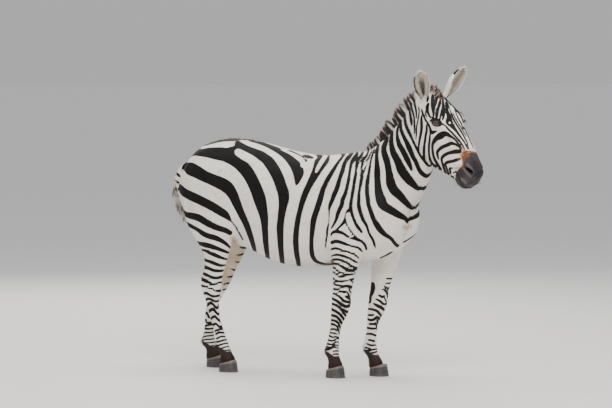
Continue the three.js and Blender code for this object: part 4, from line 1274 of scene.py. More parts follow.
@dataclass(frozen=True)
class Eye:
    """One eyeball's size and its place in the head's measures."""

    place: tuple[float, float, float] = (0.193, 0.081, -0.031)
    radius: float = 0.023
    dip: float = math.radians(12)
    long: float = 0.0222
    upper: float = 0.0152
    lower: float = 0.0122

    def frame(self, side: float) -> tuple[Array, Array]:
        """The eye's middle, and its directions forward, up and outward, one to a row."""
        at = STANCE.laid([[self.place[0], side * self.place[1], self.place[2]]])
        c, s = math.cos(self.dip), math.sin(self.dip)
        ways = np.array([[c, 0, -s], [s, 0.0, c], [0.10, side, 0.12]])
        ways = STANCE.headed(ways, np.repeat(at[:, 0], 3))
        out = unit(ways[2])
        ahead = unit(ways[0] - (ways[0] @ out) * out)
        up = np.cross(ahead, out) * side
        up = up if up[2] > 0 else -up
        return STANCE.turned(at)[0], np.stack([ahead, up, out])

    def opening(self, local: Array) -> Array:
        """How far places are out from the middle of the opening, where 1 is the lids' edge."""
        high = np.where(local[:, 1] > 0, self.upper, self.lower)
        bent = local[:, 1] + 0.0025 * (local[:, 0] / self.long)
        return (local[:, 0] / self.long) ** 2 + (bent / high) ** 2


EYE = Eye()


@dataclass(frozen=True)
class Push:
    """A swelling, hollow, ridge or groove of the flesh, along a chain of points."""

    chain: Array
    width: float
    by: float

    @classmethod
    def table(cls, text: str) -> list[Push]:
        """The pushes of a table in millimetres."""
        rows = (numbers / 1000 for numbers in named(text).values())
        return [cls(numbers[2:].reshape(-1, 3), *numbers[:2]) for numbers in rows]

    def at(self, points: Array) -> Array:
        """How far it moves each point outward."""
        lone = len(self.chain) == 1
        rows = np.vstack([self.chain, self.chain + 1e-5]) if lone else flowing(self.chain, 4)
        low, high = rows.min(0) - 3 * self.width, rows.max(0) + 3 * self.width
        near = np.flatnonzero(((points > low) & (points < high)).all(1))
        moved = np.zeros(len(points))
        if len(near):
            far = along_chain(points[near], rows)[0].min(1)
            moved[near] = self.by * np.exp(-((far / self.width) ** 2))
        return moved


# How the flesh swells and dips. Each entry is a name, the width, how far the skin moves out, and then
# the points of its chain, in millimetres: forward, to the side and up in the straight animal.
FLESH_PUSHES = """
flank 50 -9 -330 210 1030 -320 220 930
flank_fold 20 -6 -300 200 870 -350 190 800 -400 180 760
ham_line 22 -5 -680 150 1160 -670 180 1000 -630 180 860 -580 170 760
thigh 60 6 -550 200 1160 -500 210 1020 -460 190 900
buttock 35 7 -760 90 1050 -755 100 980
croup 50 4 -620 40 1300 -500 40 1335
shoulder_front 22 -6 500 170 1130 545 190 1000 520 190 880
shoulder_blade 30 5 400 130 1220 470 190 1050 550 180 920
upper_arm 50 6 340 180 1150 360 210 1000 330 210 860
behind_shoulder 20 -7 250 210 1050 245 220 900 270 200 780
elbow 30 9 262 165 775
forearm 30 6 440 190 800 400 190 700
forearm_line 12 -4 360 200 720 335 185 600 318 170 500
forearm_muscle 35 4 300 180 640
knee 22 4 310 175 445
knee_back 16 6 250 135 452
knee_inside 20 4 352 130 425
fore_tendon_outside 7 -4.2 275 152 370 262 147 300 252 142 215
fore_tendon_inside 7 -4.2 275 95 370 262 95 300 252 90 215
fore_fetlock 18 3 240 145 165
fore_pastern 12 -3 250 130 112 262 128 88
gaskin 35 7 -470 180 740 -500 170 660
hock_outside 14 -11 -545 165 700 -562 165 630 -575 160 585
hock_inside 14 -10 -545 115 700 -562 120 630 -575 120 585
hock_point 16 7 -612 142 545
hock_front 18 4 -520 170 470 -530 165 430
hind_tendon_outside 7 -4.2 -555 150 390 -548 145 330 -530 138 260
hind_tendon_inside 7 -4.2 -555 104 390 -548 100 330 -530 96 260
hind_fetlock 18 3 -490 145 165
jugular 22 -6 815 50 1300 740 75 1180 660 100 1050 600 120 970
windpipe 30 3 740 30 1160 680 30 1060
breast_groove 20 -8 660 0 1020 675 0 920 640 0 800
breast 45 7 655 65 950 640 75 860
neck_side 60 4 620 60 1400 520 90 1240
belly_line 30 -2 50 50 600 -120 50 605
"""
# The same in the head's measures: down the face, to the side and above its line.
HEAD_PUSHES = """
cheekbone 11 5 200 88 -88 260 82 -90 325 70 -86
under_cheekbone 18 -4 245 75 -58 300 68 -55
temple 16 -6 136 78 -7
brow 13 6 156 92 9 186 90 11 216 82 1
jaw_top 14 4 85 95 -72 140 98 -74 190 94 -76
jaw 35 3 70 85 -150 110 95 -200 180 90 -225
cheek_edge 15 -4 235 85 -100 255 82 -150 245 75 -210
mouth_side 14 -3 300 68 -120 390 58 -110 440 52 -105
jaw_rim 14 3 270 50 -255 340 45 -225 420 40 -180
jaw_gap 20 -10 260 0 -275 360 0 -228
nose_side 16 -5 400 45 -30 455 45 -36
nose_bone 12 2 300 30 0 420 26 0
nose_groove 12 -2 350 0 4 470 0 0
nose_tip 14 -4 490 0 -30 545 0 -60
upper_lip 13 4 556 20 -100 542 42 -104 512 58 -100
lower_lip 10 3.5 545 15 -148 525 35 -142
chin 20 4 515 0 -172 490 0 -180
mouth_corner 12 -3 476 56 -134 474 55 -154
"""
# The folds and rims of the head that need the fine mesh.
FINE_PUSHES = """
mouth 4.2 -7.8 458 60 -109 472 62 -110 490 60 -113 512 55 -120 532 42 -129 552 22 -137 560 0 -138
corner_fold 4.5 -3 454 60 -114 446 60 -126
corner_crease 5.5 -2 440 60 -106 432 58 -120 432 56 -134
lid_fold 3.5 -2.6 156 96 -7 181 100 4 211 94 -5
brow_fold 3.5 -1.8 163 94 8 186 96 16 206 90 11
lower_fold 3.8 -2.2 181 100 -61 203 100 -67 225 94 -63
nostril_rim 6 3.5 478 50 -66 490 54 -78 515 52 -82
nostril_back 6 -2.8 455 48 -50 468 50 -64
"""


def welded(source: bpy.types.Mesh, swell: float = 0.0) -> bpy.types.Mesh:
    """A copy of a mesh with its points merged and moved a little outward."""
    bm = bmesh.new()
    bm.from_mesh(source)
    bmesh.ops.remove_doubles(bm, verts=bm.verts, dist=1e-5)
    bm.normal_update()
    for v in bm.verts:
        v.co += v.normal * swell
    copy = bpy.data.meshes.new("copy")
    bm.to_mesh(copy)
    bm.free()
    return copy


def evened(mesh: bpy.types.Mesh, cell: float) -> bpy.types.Mesh:
    """One mesh of even cells around a mesh."""
    holder = linked("holder", mesh)
    wrap = holder.modifiers.new("wrap", "REMESH")
    wrap.mode, wrap.voxel_size = "VOXEL", cell
    made = bpy.data.meshes.new_from_object(holder.evaluated_get(bpy.context.evaluated_depsgraph_get()))
    bpy.data.objects.remove(holder)
    return made


def joined(name: str, meshes: list[bpy.types.Mesh]) -> bpy.types.Mesh:
    """Several meshes as one, with their points in order. They are used up."""
    bm = bmesh.new()
    for mesh in meshes:
        bm.from_mesh(mesh)
        bpy.data.meshes.remove(mesh)
    whole = bpy.data.meshes.new(name)
    bm.to_mesh(whole)
    bm.free()
    whole.shade_smooth()
    return whole


@dataclass
class Ear:
    """One ear: its cup, its markings, its rims and the hair inside."""

    side: float
    foot: float
    ahead: float
    outward: float
    turn: float
    length: float = 0.180
    width: float = 0.092
    wall: float = 0.004
    cell: float = 0.0031
    hollow: float = 0.8
    head_turn: float = math.radians(22)
    inner_hairs: int = 900
    rim_hairs: int = 520
    widths: tuple = (
        (-0.2, 0.46), (0, 0.5), (0.15, 0.7), (0.35, 0.94), (0.5, 1), (0.68, 0.96), (0.84, 0.8),
        (0.94, 0.56), (1, 0.26)
    )
    curls: tuple = ((-0.2, 168), (0, 160), (0.2, 128), (0.5, 106), (1, 84))

    def __post_init__(self) -> None:
        """Works out the ear's foot and its directions: along it, across it and out of its opening."""
        a, b = self.head_turn, self.side * self.turn
        heading = np.array([math.cos(a), -math.sin(a), 0])
        sideways = self.side * np.array([math.sin(a), math.cos(a), 0])
        self.axis = unit(np.array([0, 0, 1.0]) + heading * self.ahead + sideways * self.outward)
        c, s = math.cos(b), math.sin(b)
        opening = np.array([heading[0] * c - heading[1] * s, heading[0] * s + heading[1] * c, 0])
        self.opening = unit(opening - (opening @ self.axis) * self.axis)
        self.across = np.cross(self.axis, self.opening)
        self.base = STANCE.on_head([[0.016, self.side * 0.07, self.foot]])[0]
        self.near_edge = -np.sign(self.across @ SHEET.axes[0])

    def rim(self, place: Array, angle: Array, inward: Array | float = 0.0) -> Array:
        """Points of the cup's wall, by place up the ear and share of the way round to its rim."""
        curl = np.radians(np.interp(place, *np.array(self.curls).T))
        width = self.width * np.interp(place, *np.array(self.widths).T)
        radius = width / 2 / np.sin(np.minimum(curl, math.pi / 2)) - inward
        turn = angle * curl
        side, back = radius * np.sin(turn), -self.hollow * radius * np.cos(turn)
        up = np.outer(place * self.length, self.axis)
        return self.base + up + side[:, None] * self.across + back[:, None] * self.opening

    def build(self, node: bpy.types.Object) -> bpy.types.Mesh:
        """A smooth cup over the node's shape."""
        mesh = evened(welded(node.data), self.cell)
        points = relaxed(place_points(mesh), pairs(mesh), 0.5, 12, 0.49)
        set_points(mesh, points)
        return mesh

    def paint(self, points: Array, normals: Array) -> dict[str, Array]:
        """The values of every mark at points of the ear."""
        away = points - self.base
        place, aside, out = away @ self.axis / self.length, away @ self.across, away @ self.opening
        radial = unit(aside[:, None] * self.across + out[:, None] * self.opening)
        inside = ease(-(normals * radial).sum(1), -0.15, 0.35) * ease(place, -0.05, 0.05)
        curl = np.radians(np.interp(place, *np.array(self.curls).T))
        round_by = np.arctan2(aside, -out / self.hollow) / curl
        band = np.minimum(place - 0.64, 0.885 - place) * self.length
        edge = (round_by * self.near_edge - 0.45) * 0.03
        edge = np.minimum(edge, np.minimum(place - 0.16, 0.86 - place) * self.length)
        low = np.minimum(place - 0.02, 0.13 - place) * self.length * 0.6
        dark = np.maximum(band, np.maximum(edge, low)) if self.side < 0 else band
        # The slit is the deep middle of the cup's inside: the lid and hollow marks darken it there as painted
        # shade.
        slit = ease(np.abs(round_by), 0.42, 0.12) * ease(place, 0.80, 0.45) * inside
        lining = (inside > 0.4) & (round_by * self.near_edge < 0.84)
        marks = {mark.value: np.zeros(len(points)) for mark in Mark if mark not in (Mark.SHADE, Mark.ALONG)}
        marks[Mark.STRIPE.value] = np.where(lining, PALE, np.clip(dark, -0.03, 0.03))
        marks[Mark.TAN.value] = 0.42 * inside
        marks[Mark.WARM.value] += 0.5
        marks[Mark.LID.value] = 0.82 * slit
        marks[Mark.HOLLOW_SHADE_AND_PUPIL.value] = 0.6 * slit * ease(place, 0.5, 0.2)
        marks[Mark.FACE.value] += 1
        return marks

    def hair(self, seed: int) -> tuple[Array, Array, Array, dict[str, Array]]:
        """Long hair across the opening and a short fringe on the rims.

        Args:
            seed: Where the random places start.

        Returns:
            The hairs' spines, their widths, the directions their flat sides face, and their marks.
        """
        rng = np.random.default_rng(seed)
        spines, widths, ups, stripes, tans = [], [], [], [], []
        for count, fringe in ((self.inner_hairs, False), (self.rim_hairs, True)):
            place = rng.uniform(0.02, 0.97, count) ** (1.0 if fringe else 0.9)
            sign = rng.choice([-1.0, 1.0], count)
            turn = sign * (1.0 if fringe else rng.uniform(0.38, 0.98, count))
            root = self.rim(place, turn, self.wall * (0.4 if fringe else 1.2))
            broad = np.interp(place, *np.array(self.widths).T)
            if fringe:
                way = 0.34 * sign[:, None] * self.across + 0.8 * self.axis + 0.34 * self.opening
                length = rng.uniform(0.006, 0.0105, count)
            else:
                inward = -0.62 * sign[:, None] * self.across * rng.uniform(0.5, 1.2, count)[:, None]
                way = inward + 0.8 * self.axis + rng.uniform(0.06, 0.42, count)[:, None] * self.opening
                length = rng.uniform(0.016, 0.034, count) * (0.35 + 0.65 * broad)
            way = unit(way + rng.normal(0, 0.10, (count, 3)))
            step = np.linspace(0, 1, 4)[None, :, None]
            bend = self.axis * 0.25 - sign[:, None] * self.across * (0.0 if fringe else 0.22)
            curve = way[:, None] * step + bend[:, None] * step**2
            spines.append(root[:, None] + length[:, None, None] * curve)
            widths.append(np.full(count, 0.0016 if fringe else 0.0019))
            ups.append(np.repeat(self.opening[None], count, 0))
            near = (sign * self.near_edge > 0) & (self.side < 0) & (place > 0.2) & (place < 0.84)
            dark = fringe * (near & (rng.random(count) < 0.8))
            dark = dark | (fringe & (place > 0.9) & (rng.random(count) < 0.25))
            stripes.append(np.where(dark, DARK, PALE))
            tans.append(np.full(count, 0.0) if fringe else rng.uniform(0.05, 0.5, count))
        flat = {key.value: np.zeros(sum(len(w) for w in widths)) for key in Mark if key is not Mark.ALONG}
        flat[Mark.STRIPE.value], flat[Mark.TAN.value] = np.concatenate(stripes), np.concatenate(tans)
        flat[Mark.FACE.value] += 1
        flat[Mark.SHADE.value] = rng.uniform(-1, 1, len(flat["stripe"]))
        return np.concatenate(spines), np.concatenate(widths), np.concatenate(ups), flat


@dataclass
class Hide:
    """The one skin over trunk, neck, head, ears, legs and tail."""

    cell: float = 0.0122
    flesh: tuple = (
        "trunk", "neck", "head", "fore_leg_right", "fore_leg_left", "hind_leg_right", "hind_leg_left",
        "tail"
    )
    coat_depth: float = 0.0028
    seal: float = 0.0006
    into_hoof: float = 0.012
    lid_depth: float = 0.0024
    lid_back: float = 0.007
    slit: tuple[float, float, float] = (0.0245, 0.0080, math.radians(5))
    nostril: tuple[float, float, float] = (0.522, 0.046, -0.040)
    # How far forward, and how near the eyes and nostrils, each further cut of the mesh reaches.
    cuts: tuple = ((0.435, 0.050, 0.05), (0.9, 0.034, 0.034))
    own: dict[str, Array] = field(default_factory=dict)

    def wrapped(self, nodes: dict[str, bpy.types.Object]) -> bpy.types.Mesh:
        """The flesh and eyeballs, each a little swollen, under one even mesh."""
        parts = [welded(nodes[name].data, self.seal) for name in (*self.flesh, "eye_right", "eye_left")]
        return evened(joined("flesh", parts), self.cell)

    @staticmethod
    def refined(mesh: bpy.types.Mesh, wanted: Array) -> None:
        """Splits the edges between wanted points, and eases what they span."""
        bm = bmesh.new()
        bm.from_mesh(mesh)
        edges = [e for e in bm.edges if wanted[e.verts[0].index] and wanted[e.verts[1].index]]
        bmesh.ops.subdivide_edges(bm, edges=edges, cuts=1, use_grid_fill=True)
        bmesh.ops.triangulate(bm, faces=[f for f in bm.faces if len(f.verts) > 4])
        bm.to_mesh(mesh)
        bm.free()

    def smoothed(self, mesh: bpy.types.Mesh) -> None:
        """Eases the facets away, most on the broad trunk, and keeps the girth of thin parts."""
        points, edges = place_points(mesh), pairs(mesh)
        straight, folded, _ = STANCE.parts(points)
        ends = ease(straight[:, 0], 0.86, 0.72) * ease(straight[:, 0], -0.82, -0.74)
        broad = ease(folded[:, 2], 0.62, 0.86) * ends
        back = 0.52 - 0.20 * broad
        eased = relaxed(points, edges, 0.5, 26, back)
        set_points(mesh, eased)
        lost = ((points - eased) * directions(mesh)).sum(1)
        lost = relaxed(np.repeat(lost[:, None], 3, 1), edges, 0.5, 14)[:, 0]
        points = eased + directions(mesh) * lost[:, None]
        points[:, 2] -= self.into_hoof * ease(folded[:, 2], 0.085, 0.06)
        inset = self.coat_depth * (0.35 + 0.65 * broad) * ease(folded[:, 2], 0.05, 0.12)
        set_points(mesh, points)
        set_points(mesh, points - directions(mesh) * inset[:, None])

    def pushed(self, mesh: bpy.types.Mesh, table: str, on_head: bool) -> None:
        """Sculpts the skin with a table of pushes, alike on both sides."""
        points = place_points(mesh)
        _, folded, measures = STANCE.parts(points)
        where = measures if on_head else folded
        where = np.stack([where[:, 0], np.abs(where[:, 1]), where[:, 2]], 1)
        moved = sum(push.at(where) for push in Push.table(table))
        set_points(mesh, points + directions(mesh) * moved[:, None])

    def lidded(self, mesh: bpy.types.Mesh) -> None:
        """Draws the skin over each eyeball as lids and opens them."""
        points = place_points(mesh)
        lid = np.zeros(len(points))
        for side in SIDES.values():
            middle, ways = EYE.frame(side)
            local = (points - middle) @ ways.T
            near = np.flatnonzero((np.linalg.norm(local, axis=1) < 0.075) & (local[:, 2] > -0.004))
            here = local[near]
            out = np.hypot(here[:, 0], here[:, 1])
            q = EYE.opening(here)
            cover = 1 - ease(out, 0.020, 0.036)
            rim, fold = 0.0012 * bell(np.sqrt(q), 1.12, 0.10), 0.0016 * bell(np.sqrt(q), 1.62, 0.10)
            shell = EYE.radius + self.lid_depth + rim - fold
            shell = shell + 0.0028 * ease(here[:, 1], 0.004, 0.014) * bell(out, 0.017, 0.009)
            deep = EYE.radius - self.lid_back
            shell = deep + (shell - deep) * ease(q, 0.74, 1.06)
            aim = unit(here) * shell[:, None]
            here = here * (1 - cover[:, None]) + aim * cover[:, None]
            points[near] = middle + here @ ways
            half = np.where(here[:, 1] > 0, 0.0245, 0.0195)
            oval = (here[:, 0] / 0.036) ** 2 + (here[:, 1] / half) ** 2
            lid[near] = np.maximum(lid[near], ease(oval, 1.2, 0.85))
            tear = np.hypot((here[:, 0] - 0.024) / 0.008, (here[:, 1] + 0.003) / 0.004)
            lid[near] = np.maximum(lid[near], ease(tear, 1.5, 0.7))
        set_points(mesh, points)
        self.own[Mark.LID.value] = lid

    def holed(self, mesh: bpy.types.Mesh) -> None:
        """Sinks the nostrils and raises their rims."""
        points = place_points(mesh)
        straight, _, measures = STANCE.parts(points)
        side = np.where(measures[:, 1] > 0, 1.0, -1.0)
        away = np.stack([measures[:, 0], np.abs(measures[:, 1]), measures[:, 2]], 1) - np.array(self.nostril)
        long, high, slant = self.slit
        c, s = math.cos(slant), math.sin(slant)
        u, v = away[:, 0] * c - away[:, 2] * s, away[:, 0] * s + away[:, 2] * c
        v = v + 0.006 * (u / long) ** 2 - 0.002
        q = np.sqrt((u / long) ** 2 + (v / high) ** 2)
        close = ease(np.abs(away[:, 1]), 0.05, 0.03) * (q < 4)
        sink = 0.021 * ease(q, 1.12, 0.35) * close
        rim = 0.0034 * bell(q, 1.45, 0.32) * (0.55 + 0.45 * ease(v, 0.004, -0.004)) * close
        ones = np.ones(len(side))
        inward = STANCE.headed(np.stack([-0.35 * ones, -side, 0.25 * ones], 1), straight[:, 0])
        points = points + unit(inward) * sink[:, None] + directions(mesh) * rim[:, None]
        set_points(mesh, points)
        # The hollow mark paints the nostrils' insides near black: painted shade in the recess.
        self.own[Mark.HOLLOW_SHADE_AND_PUPIL.value] = ease(q, 0.95, 0.6) * close

    def build(
        self, nodes: dict[str, bpy.types.Object], ears: dict[str, Ear], markings: Markings
    ) -> bpy.types.Object:
        """Makes the whole skin and its markings.

        Args:
            nodes: The CAD nodes by name.
            ears: The ears by side.
            markings: The drawn stripes.

        Returns:
            The skin's object.
        """
        mesh = self.wrapped(nodes)
        self.smoothed(mesh)
        points = place_points(mesh)
        straight, folded, measures = STANCE.parts(points)
        head = (measures[:, 0] > -0.06) & (straight[:, 0] > 0.80)
        throat = (straight[:, 0] > 0.70) & (folded[:, 2] > 0.80)
        self.refined(mesh, head | throat | (folded[:, 2] < 0.46))
        log.info("skin: %d points after the first cut", len(mesh.vertices))
        set_points(mesh, relaxed(place_points(mesh), pairs(mesh), 0.5, 3, 0.5))
        self.pushed(mesh, FLESH_PUSHES, False)
        self.pushed(mesh, HEAD_PUSHES, True)
        for muzzle_from, eye_reach, nose_reach in self.cuts:
            points = place_points(mesh)
            straight, _, measures = STANCE.parts(points)
            near = np.zeros(len(points), bool)
            for side in SIDES.values():
                near |= np.linalg.norm(points - EYE.frame(side)[0], axis=1) < eye_reach
            nose = measures.copy()
            nose[:, 1] = np.abs(nose[:, 1])
            near |= np.linalg.norm(nose - np.array(self.nostril), axis=1) < nose_reach
            near |= (measures[:, 0] > muzzle_from) & (straight[:, 0] > 0.85)
            self.refined(mesh, near)
            points, edges = place_points(mesh), pairs(mesh)
            _, _, measures = STANCE.parts(points)
            soft = np.where((measures[:, 0] > 0.40) | (np.abs(measures[:, 0] - 0.19) < 0.07), 0.5, 0.0)
            set_points(mesh, relaxed(points, edges, soft, 3, soft))
        self.pushed(mesh, FINE_PUSHES, True)
        self.lidded(mesh)
        self.holed(mesh)
        cups = [ear.build(nodes[f"ear_{side}"]) for side, ear in ears.items()]
        marks = [self.own | markings.paint(place_points(mesh), directions(mesh))]
        marks += [ear.paint(place_points(cup), directions(cup)) for ear, cup in zip(ears.values(), cups)]
        whole = joined("skin", [mesh, *cups])
        for key in marks[0]:
            set_mark(whole, key, np.concatenate([each[key] for each in marks]))
        return linked("skin", whole)


# ---- The coat ------------------------------------------------------------------------------------


class Chart:
    """Lays the skin's own shape flat: the body along its spine, and each leg in a strip of its own."""

    middle: tuple = (
        (-0.9, 1.15), (-0.70, 1.06), (0.0, 1.0), (0.45, 1.10),
        (0.62, 1.25), (0.86, 1.45), (1.0, 1.42), (1.3, 1.12),
    )
    leg_out: float = 0.12
    fore_axis: float = 0.29
    hind_axis: float = -0.53

    @classmethod
    def lay(cls, points: Array) -> Array:
        """Each point's place on the chart.

        Args:
            points: Points of the skin.

        Returns:
            Two numbers from 0 to 1 for each.
        """
        straight, folded, _ = STANCE.parts(points)
        x, y, z = straight.T
        high = np.interp(x, *np.array(cls.middle).T)
        along = 0.01 + 0.70 * np.clip((x + 0.95) / 2.3, 0, 1)
        around = 0.01 + 0.98 * (np.arctan2(y, z - high) / (2 * math.pi) + 0.5)
        fore = x > -0.1
        column = np.where(fore, 0.0, 1.0) * 2 + (y > 0)
        ahead = folded[:, 0] - np.where(fore, cls.fore_axis, cls.hind_axis)
        turn = np.arctan2(np.abs(y) - cls.leg_out, ahead) / (2 * math.pi) + 0.5
        strip = 0.725 + 0.0675 * (column + np.clip(turn, 0.02, 0.98))
        up = 0.01 + 0.97 * np.clip(z / 0.75, 0, 1)
        leg = (z < 0.72) & (np.abs(x) < 0.72) & (np.abs(y) > 0.03)
        return np.stack([np.where(leg, strip, along), np.where(leg, up, around)], 1)


@dataclass
class Coat:
    """Short tufts that lie along the body over the skin."""

    skin: bpy.types.Object
    material: bpy.types.Material
    on_body: float = 0.0128
    on_legs: float = 0.0072
    on_head: float = 0.0062
    lift: float = 0.10
    sunk: float = 0.0007
    clear: float = 0.0011

    def __post_init__(self) -> None:
        """Reads the skin's triangles and marks."""
        mesh = self.skin.data
        mesh.calc_loop_triangles()
        flat = np.empty(len(mesh.loop_triangles) * 3, np.int32)
        mesh.loop_triangles.foreach_get("vertices", flat)
        self.triangles = flat.reshape(-1, 3)
        self.points, self.normals = place_points(mesh), directions(mesh)
        self.marks = {}
        for mark in mesh.attributes:
            if mark.domain == "POINT" and mark.data_type == "FLOAT":
                values = np.empty(len(mesh.vertices), np.float32)
                mark.data.foreach_get("value", values)
                self.marks[mark.name] = values
        a, b, c = (self.points[self.triangles[:, k]] for k in range(3))
        self.area = np.linalg.norm(np.cross(b - a, c - a), axis=1) / 2
        self.centre = (a + b + c) / 3

    def lengths(self, at: Array, normal: Array, head: Array) -> tuple[Array, Array]:
        """How long the tufts are and how much they stand off.

        Args:
            at: Points of the skin.
            normal: Its outward directions there.
            head: How far each point belongs to the head.

        Returns:
            The lengths, and the share of its length that each tuft rises.
        """
        _, folded, measures = STANCE.parts(at)
        x, y, z = folded.T
        leg = ease(z, 0.95, 0.7)
        length = self.on_body * (1 - leg) * (1 - head) + self.on_legs * leg + self.on_head * head
        length = length * (1 - 0.45 * ease(measures[:, 0], 0.25, 0.42) * head)
        lift = np.full(len(at), self.lift)
        under = head * ease(-normal[:, 2], 0.35, 0.8) * ease(measures[:, 2], -0.12, -0.18)
        belly = ease(-normal[:, 2], 0.75, 0.97) * ease(z, 0.74, 0.66) * (np.abs(x) < 0.5)
        chest = ease(y, 0.06, 0.02) * ease(x, 0.60, 0.66) * ease(z, 1.1, 1.0)
        fetlock = bell(z, 0.152, 0.028) * ease(-normal[:, 0], 0.2, 0.7)
        coronet = ease(z, 0.098, 0.078)
        elbow = ease(-normal[:, 0], 0.4, 0.9) * ease(z, 0.80, 0.72) * ease(z, 0.5, 0.6)
        spine = ease(y, 0.05, 0.02) * ease(normal[:, 2], 0.7, 0.95) * (1 - head)
        for zone, longer, higher in (
            (under, 0.011, 0.30), (belly, 0.010, 0.16), (chest, 0.007, 0.10), (fetlock, 0.018, 0.34),
            (coronet, 0.004, 0.12), (elbow, 0.007, 0.14), (spine, 0.004, 0.0),
        ):
            length = length + longer * zone
            lift = lift + higher * zone
        return length, lift

    def build(self, name: str, count: int, share: Array, seed: int) -> bpy.types.Object:
        """One patch of tufts.

        Args:
            name: The piece's name.
            count: The number of tufts.
            share: How thickly each triangle is covered.
            seed: Where the random places start.

        Returns:
            The finished piece.
        """
        rng = np.random.default_rng(seed)
        weight = self.area * share
        rows = rng.choice(len(weight), count, p=weight / weight.sum())
        parts = rng.dirichlet([1.0, 1.0, 1.0], count)
        corners_of = self.triangles[rows]
        at = (self.points[corners_of] * parts[:, :, None]).sum(1)
        normal = unit((self.normals[corners_of] * parts[:, :, None]).sum(1))
        marks = {key: (values[corners_of] * parts).sum(1) for key, values in self.marks.items()}
        head = marks["face"]
        length, lift = self.lengths(at, normal, head)
        length = length * rng.uniform(0.75, 1.2, count)
        way = Markings.lie(at, normal)
        side = np.cross(normal, way)
        swing = rng.normal(0, 0.16, count) + 0.25 * np.sin(at[:, 0] * 17 + at[:, 2] * 23)
        way = unit(way * np.cos(swing)[:, None] + side * np.sin(swing)[:, None])
        step = np.array([0.0, 0.5, 1.0])[None, :, None]
        sunk = np.array([-self.sunk, 0.0, 0.0])[None, :, None]
        rise = sunk + (self.clear + (lift * length)[:, None, None]) * step
        spines = at[:, None] + way[:, None] * length[:, None, None] * (step - 0.4) + normal[:, None] * rise
        marks[Mark.SHADE.value] = rng.uniform(-1, 1, count)
        width = np.clip(length * (0.17 + 0.05 * head), 0.0009, 0.0028)
        made = Strands(spines, width, 0.32, normal, Chart.lay(at), marks).build(name)
        return finished(made, self.material, Slot.HAIR)

    def dress(self) -> None:
        """Covers every part of the skin."""
        straight, folded, measures = STANCE.parts(self.centre)
        x, y, z = folded.T
        head = (measures[:, 0] > -0.03) & (straight[:, 0] > 0.84)
        legs = (z < 0.72) & ~head & ~((y < 0.1) & (z > 0.6) & (np.abs(x) < 0.45))
        neck = (x > 0.42) & ~head & ~legs
        bare = np.zeros(len(x))
        for key in ("lid", "hollow"):
            bare = np.maximum(bare, self.marks[key][self.triangles].max(1))
        open_skin = (bare < 0.35) * ease(z, 0.045, 0.06)
        muzzle = self.marks["muzzle"][self.triangles].mean(1)
        regions = (
            ("coat_barrel", 17500, ~head & ~legs & ~neck & (x > -0.15), 1 + 0 * x),
            ("coat_rump", 17500, ~head & ~legs & (x <= -0.15), 1 + 0 * x),
            ("coat_neck", 17000, neck, 1 + 0.8 * ease(x, 0.6, 0.85)),
            ("coat_head", 19000, head, 1.0 - 0.75 * muzzle),
            ("coat_fore_legs", 13500, legs & (x > 0), 1 + 1.2 * ease(z, 0.5, 0.2)),
            ("coat_hind_legs", 13500, legs & (x <= 0), 1 + 1.2 * ease(z, 0.5, 0.2)),
        )
        for seed, (name, count, where, share) in enumerate(regions):
            self.build(name, count, where * share * open_skin, 100 + seed)


# ---- Mane, forelock, tail ------------------------------------------------------------------------


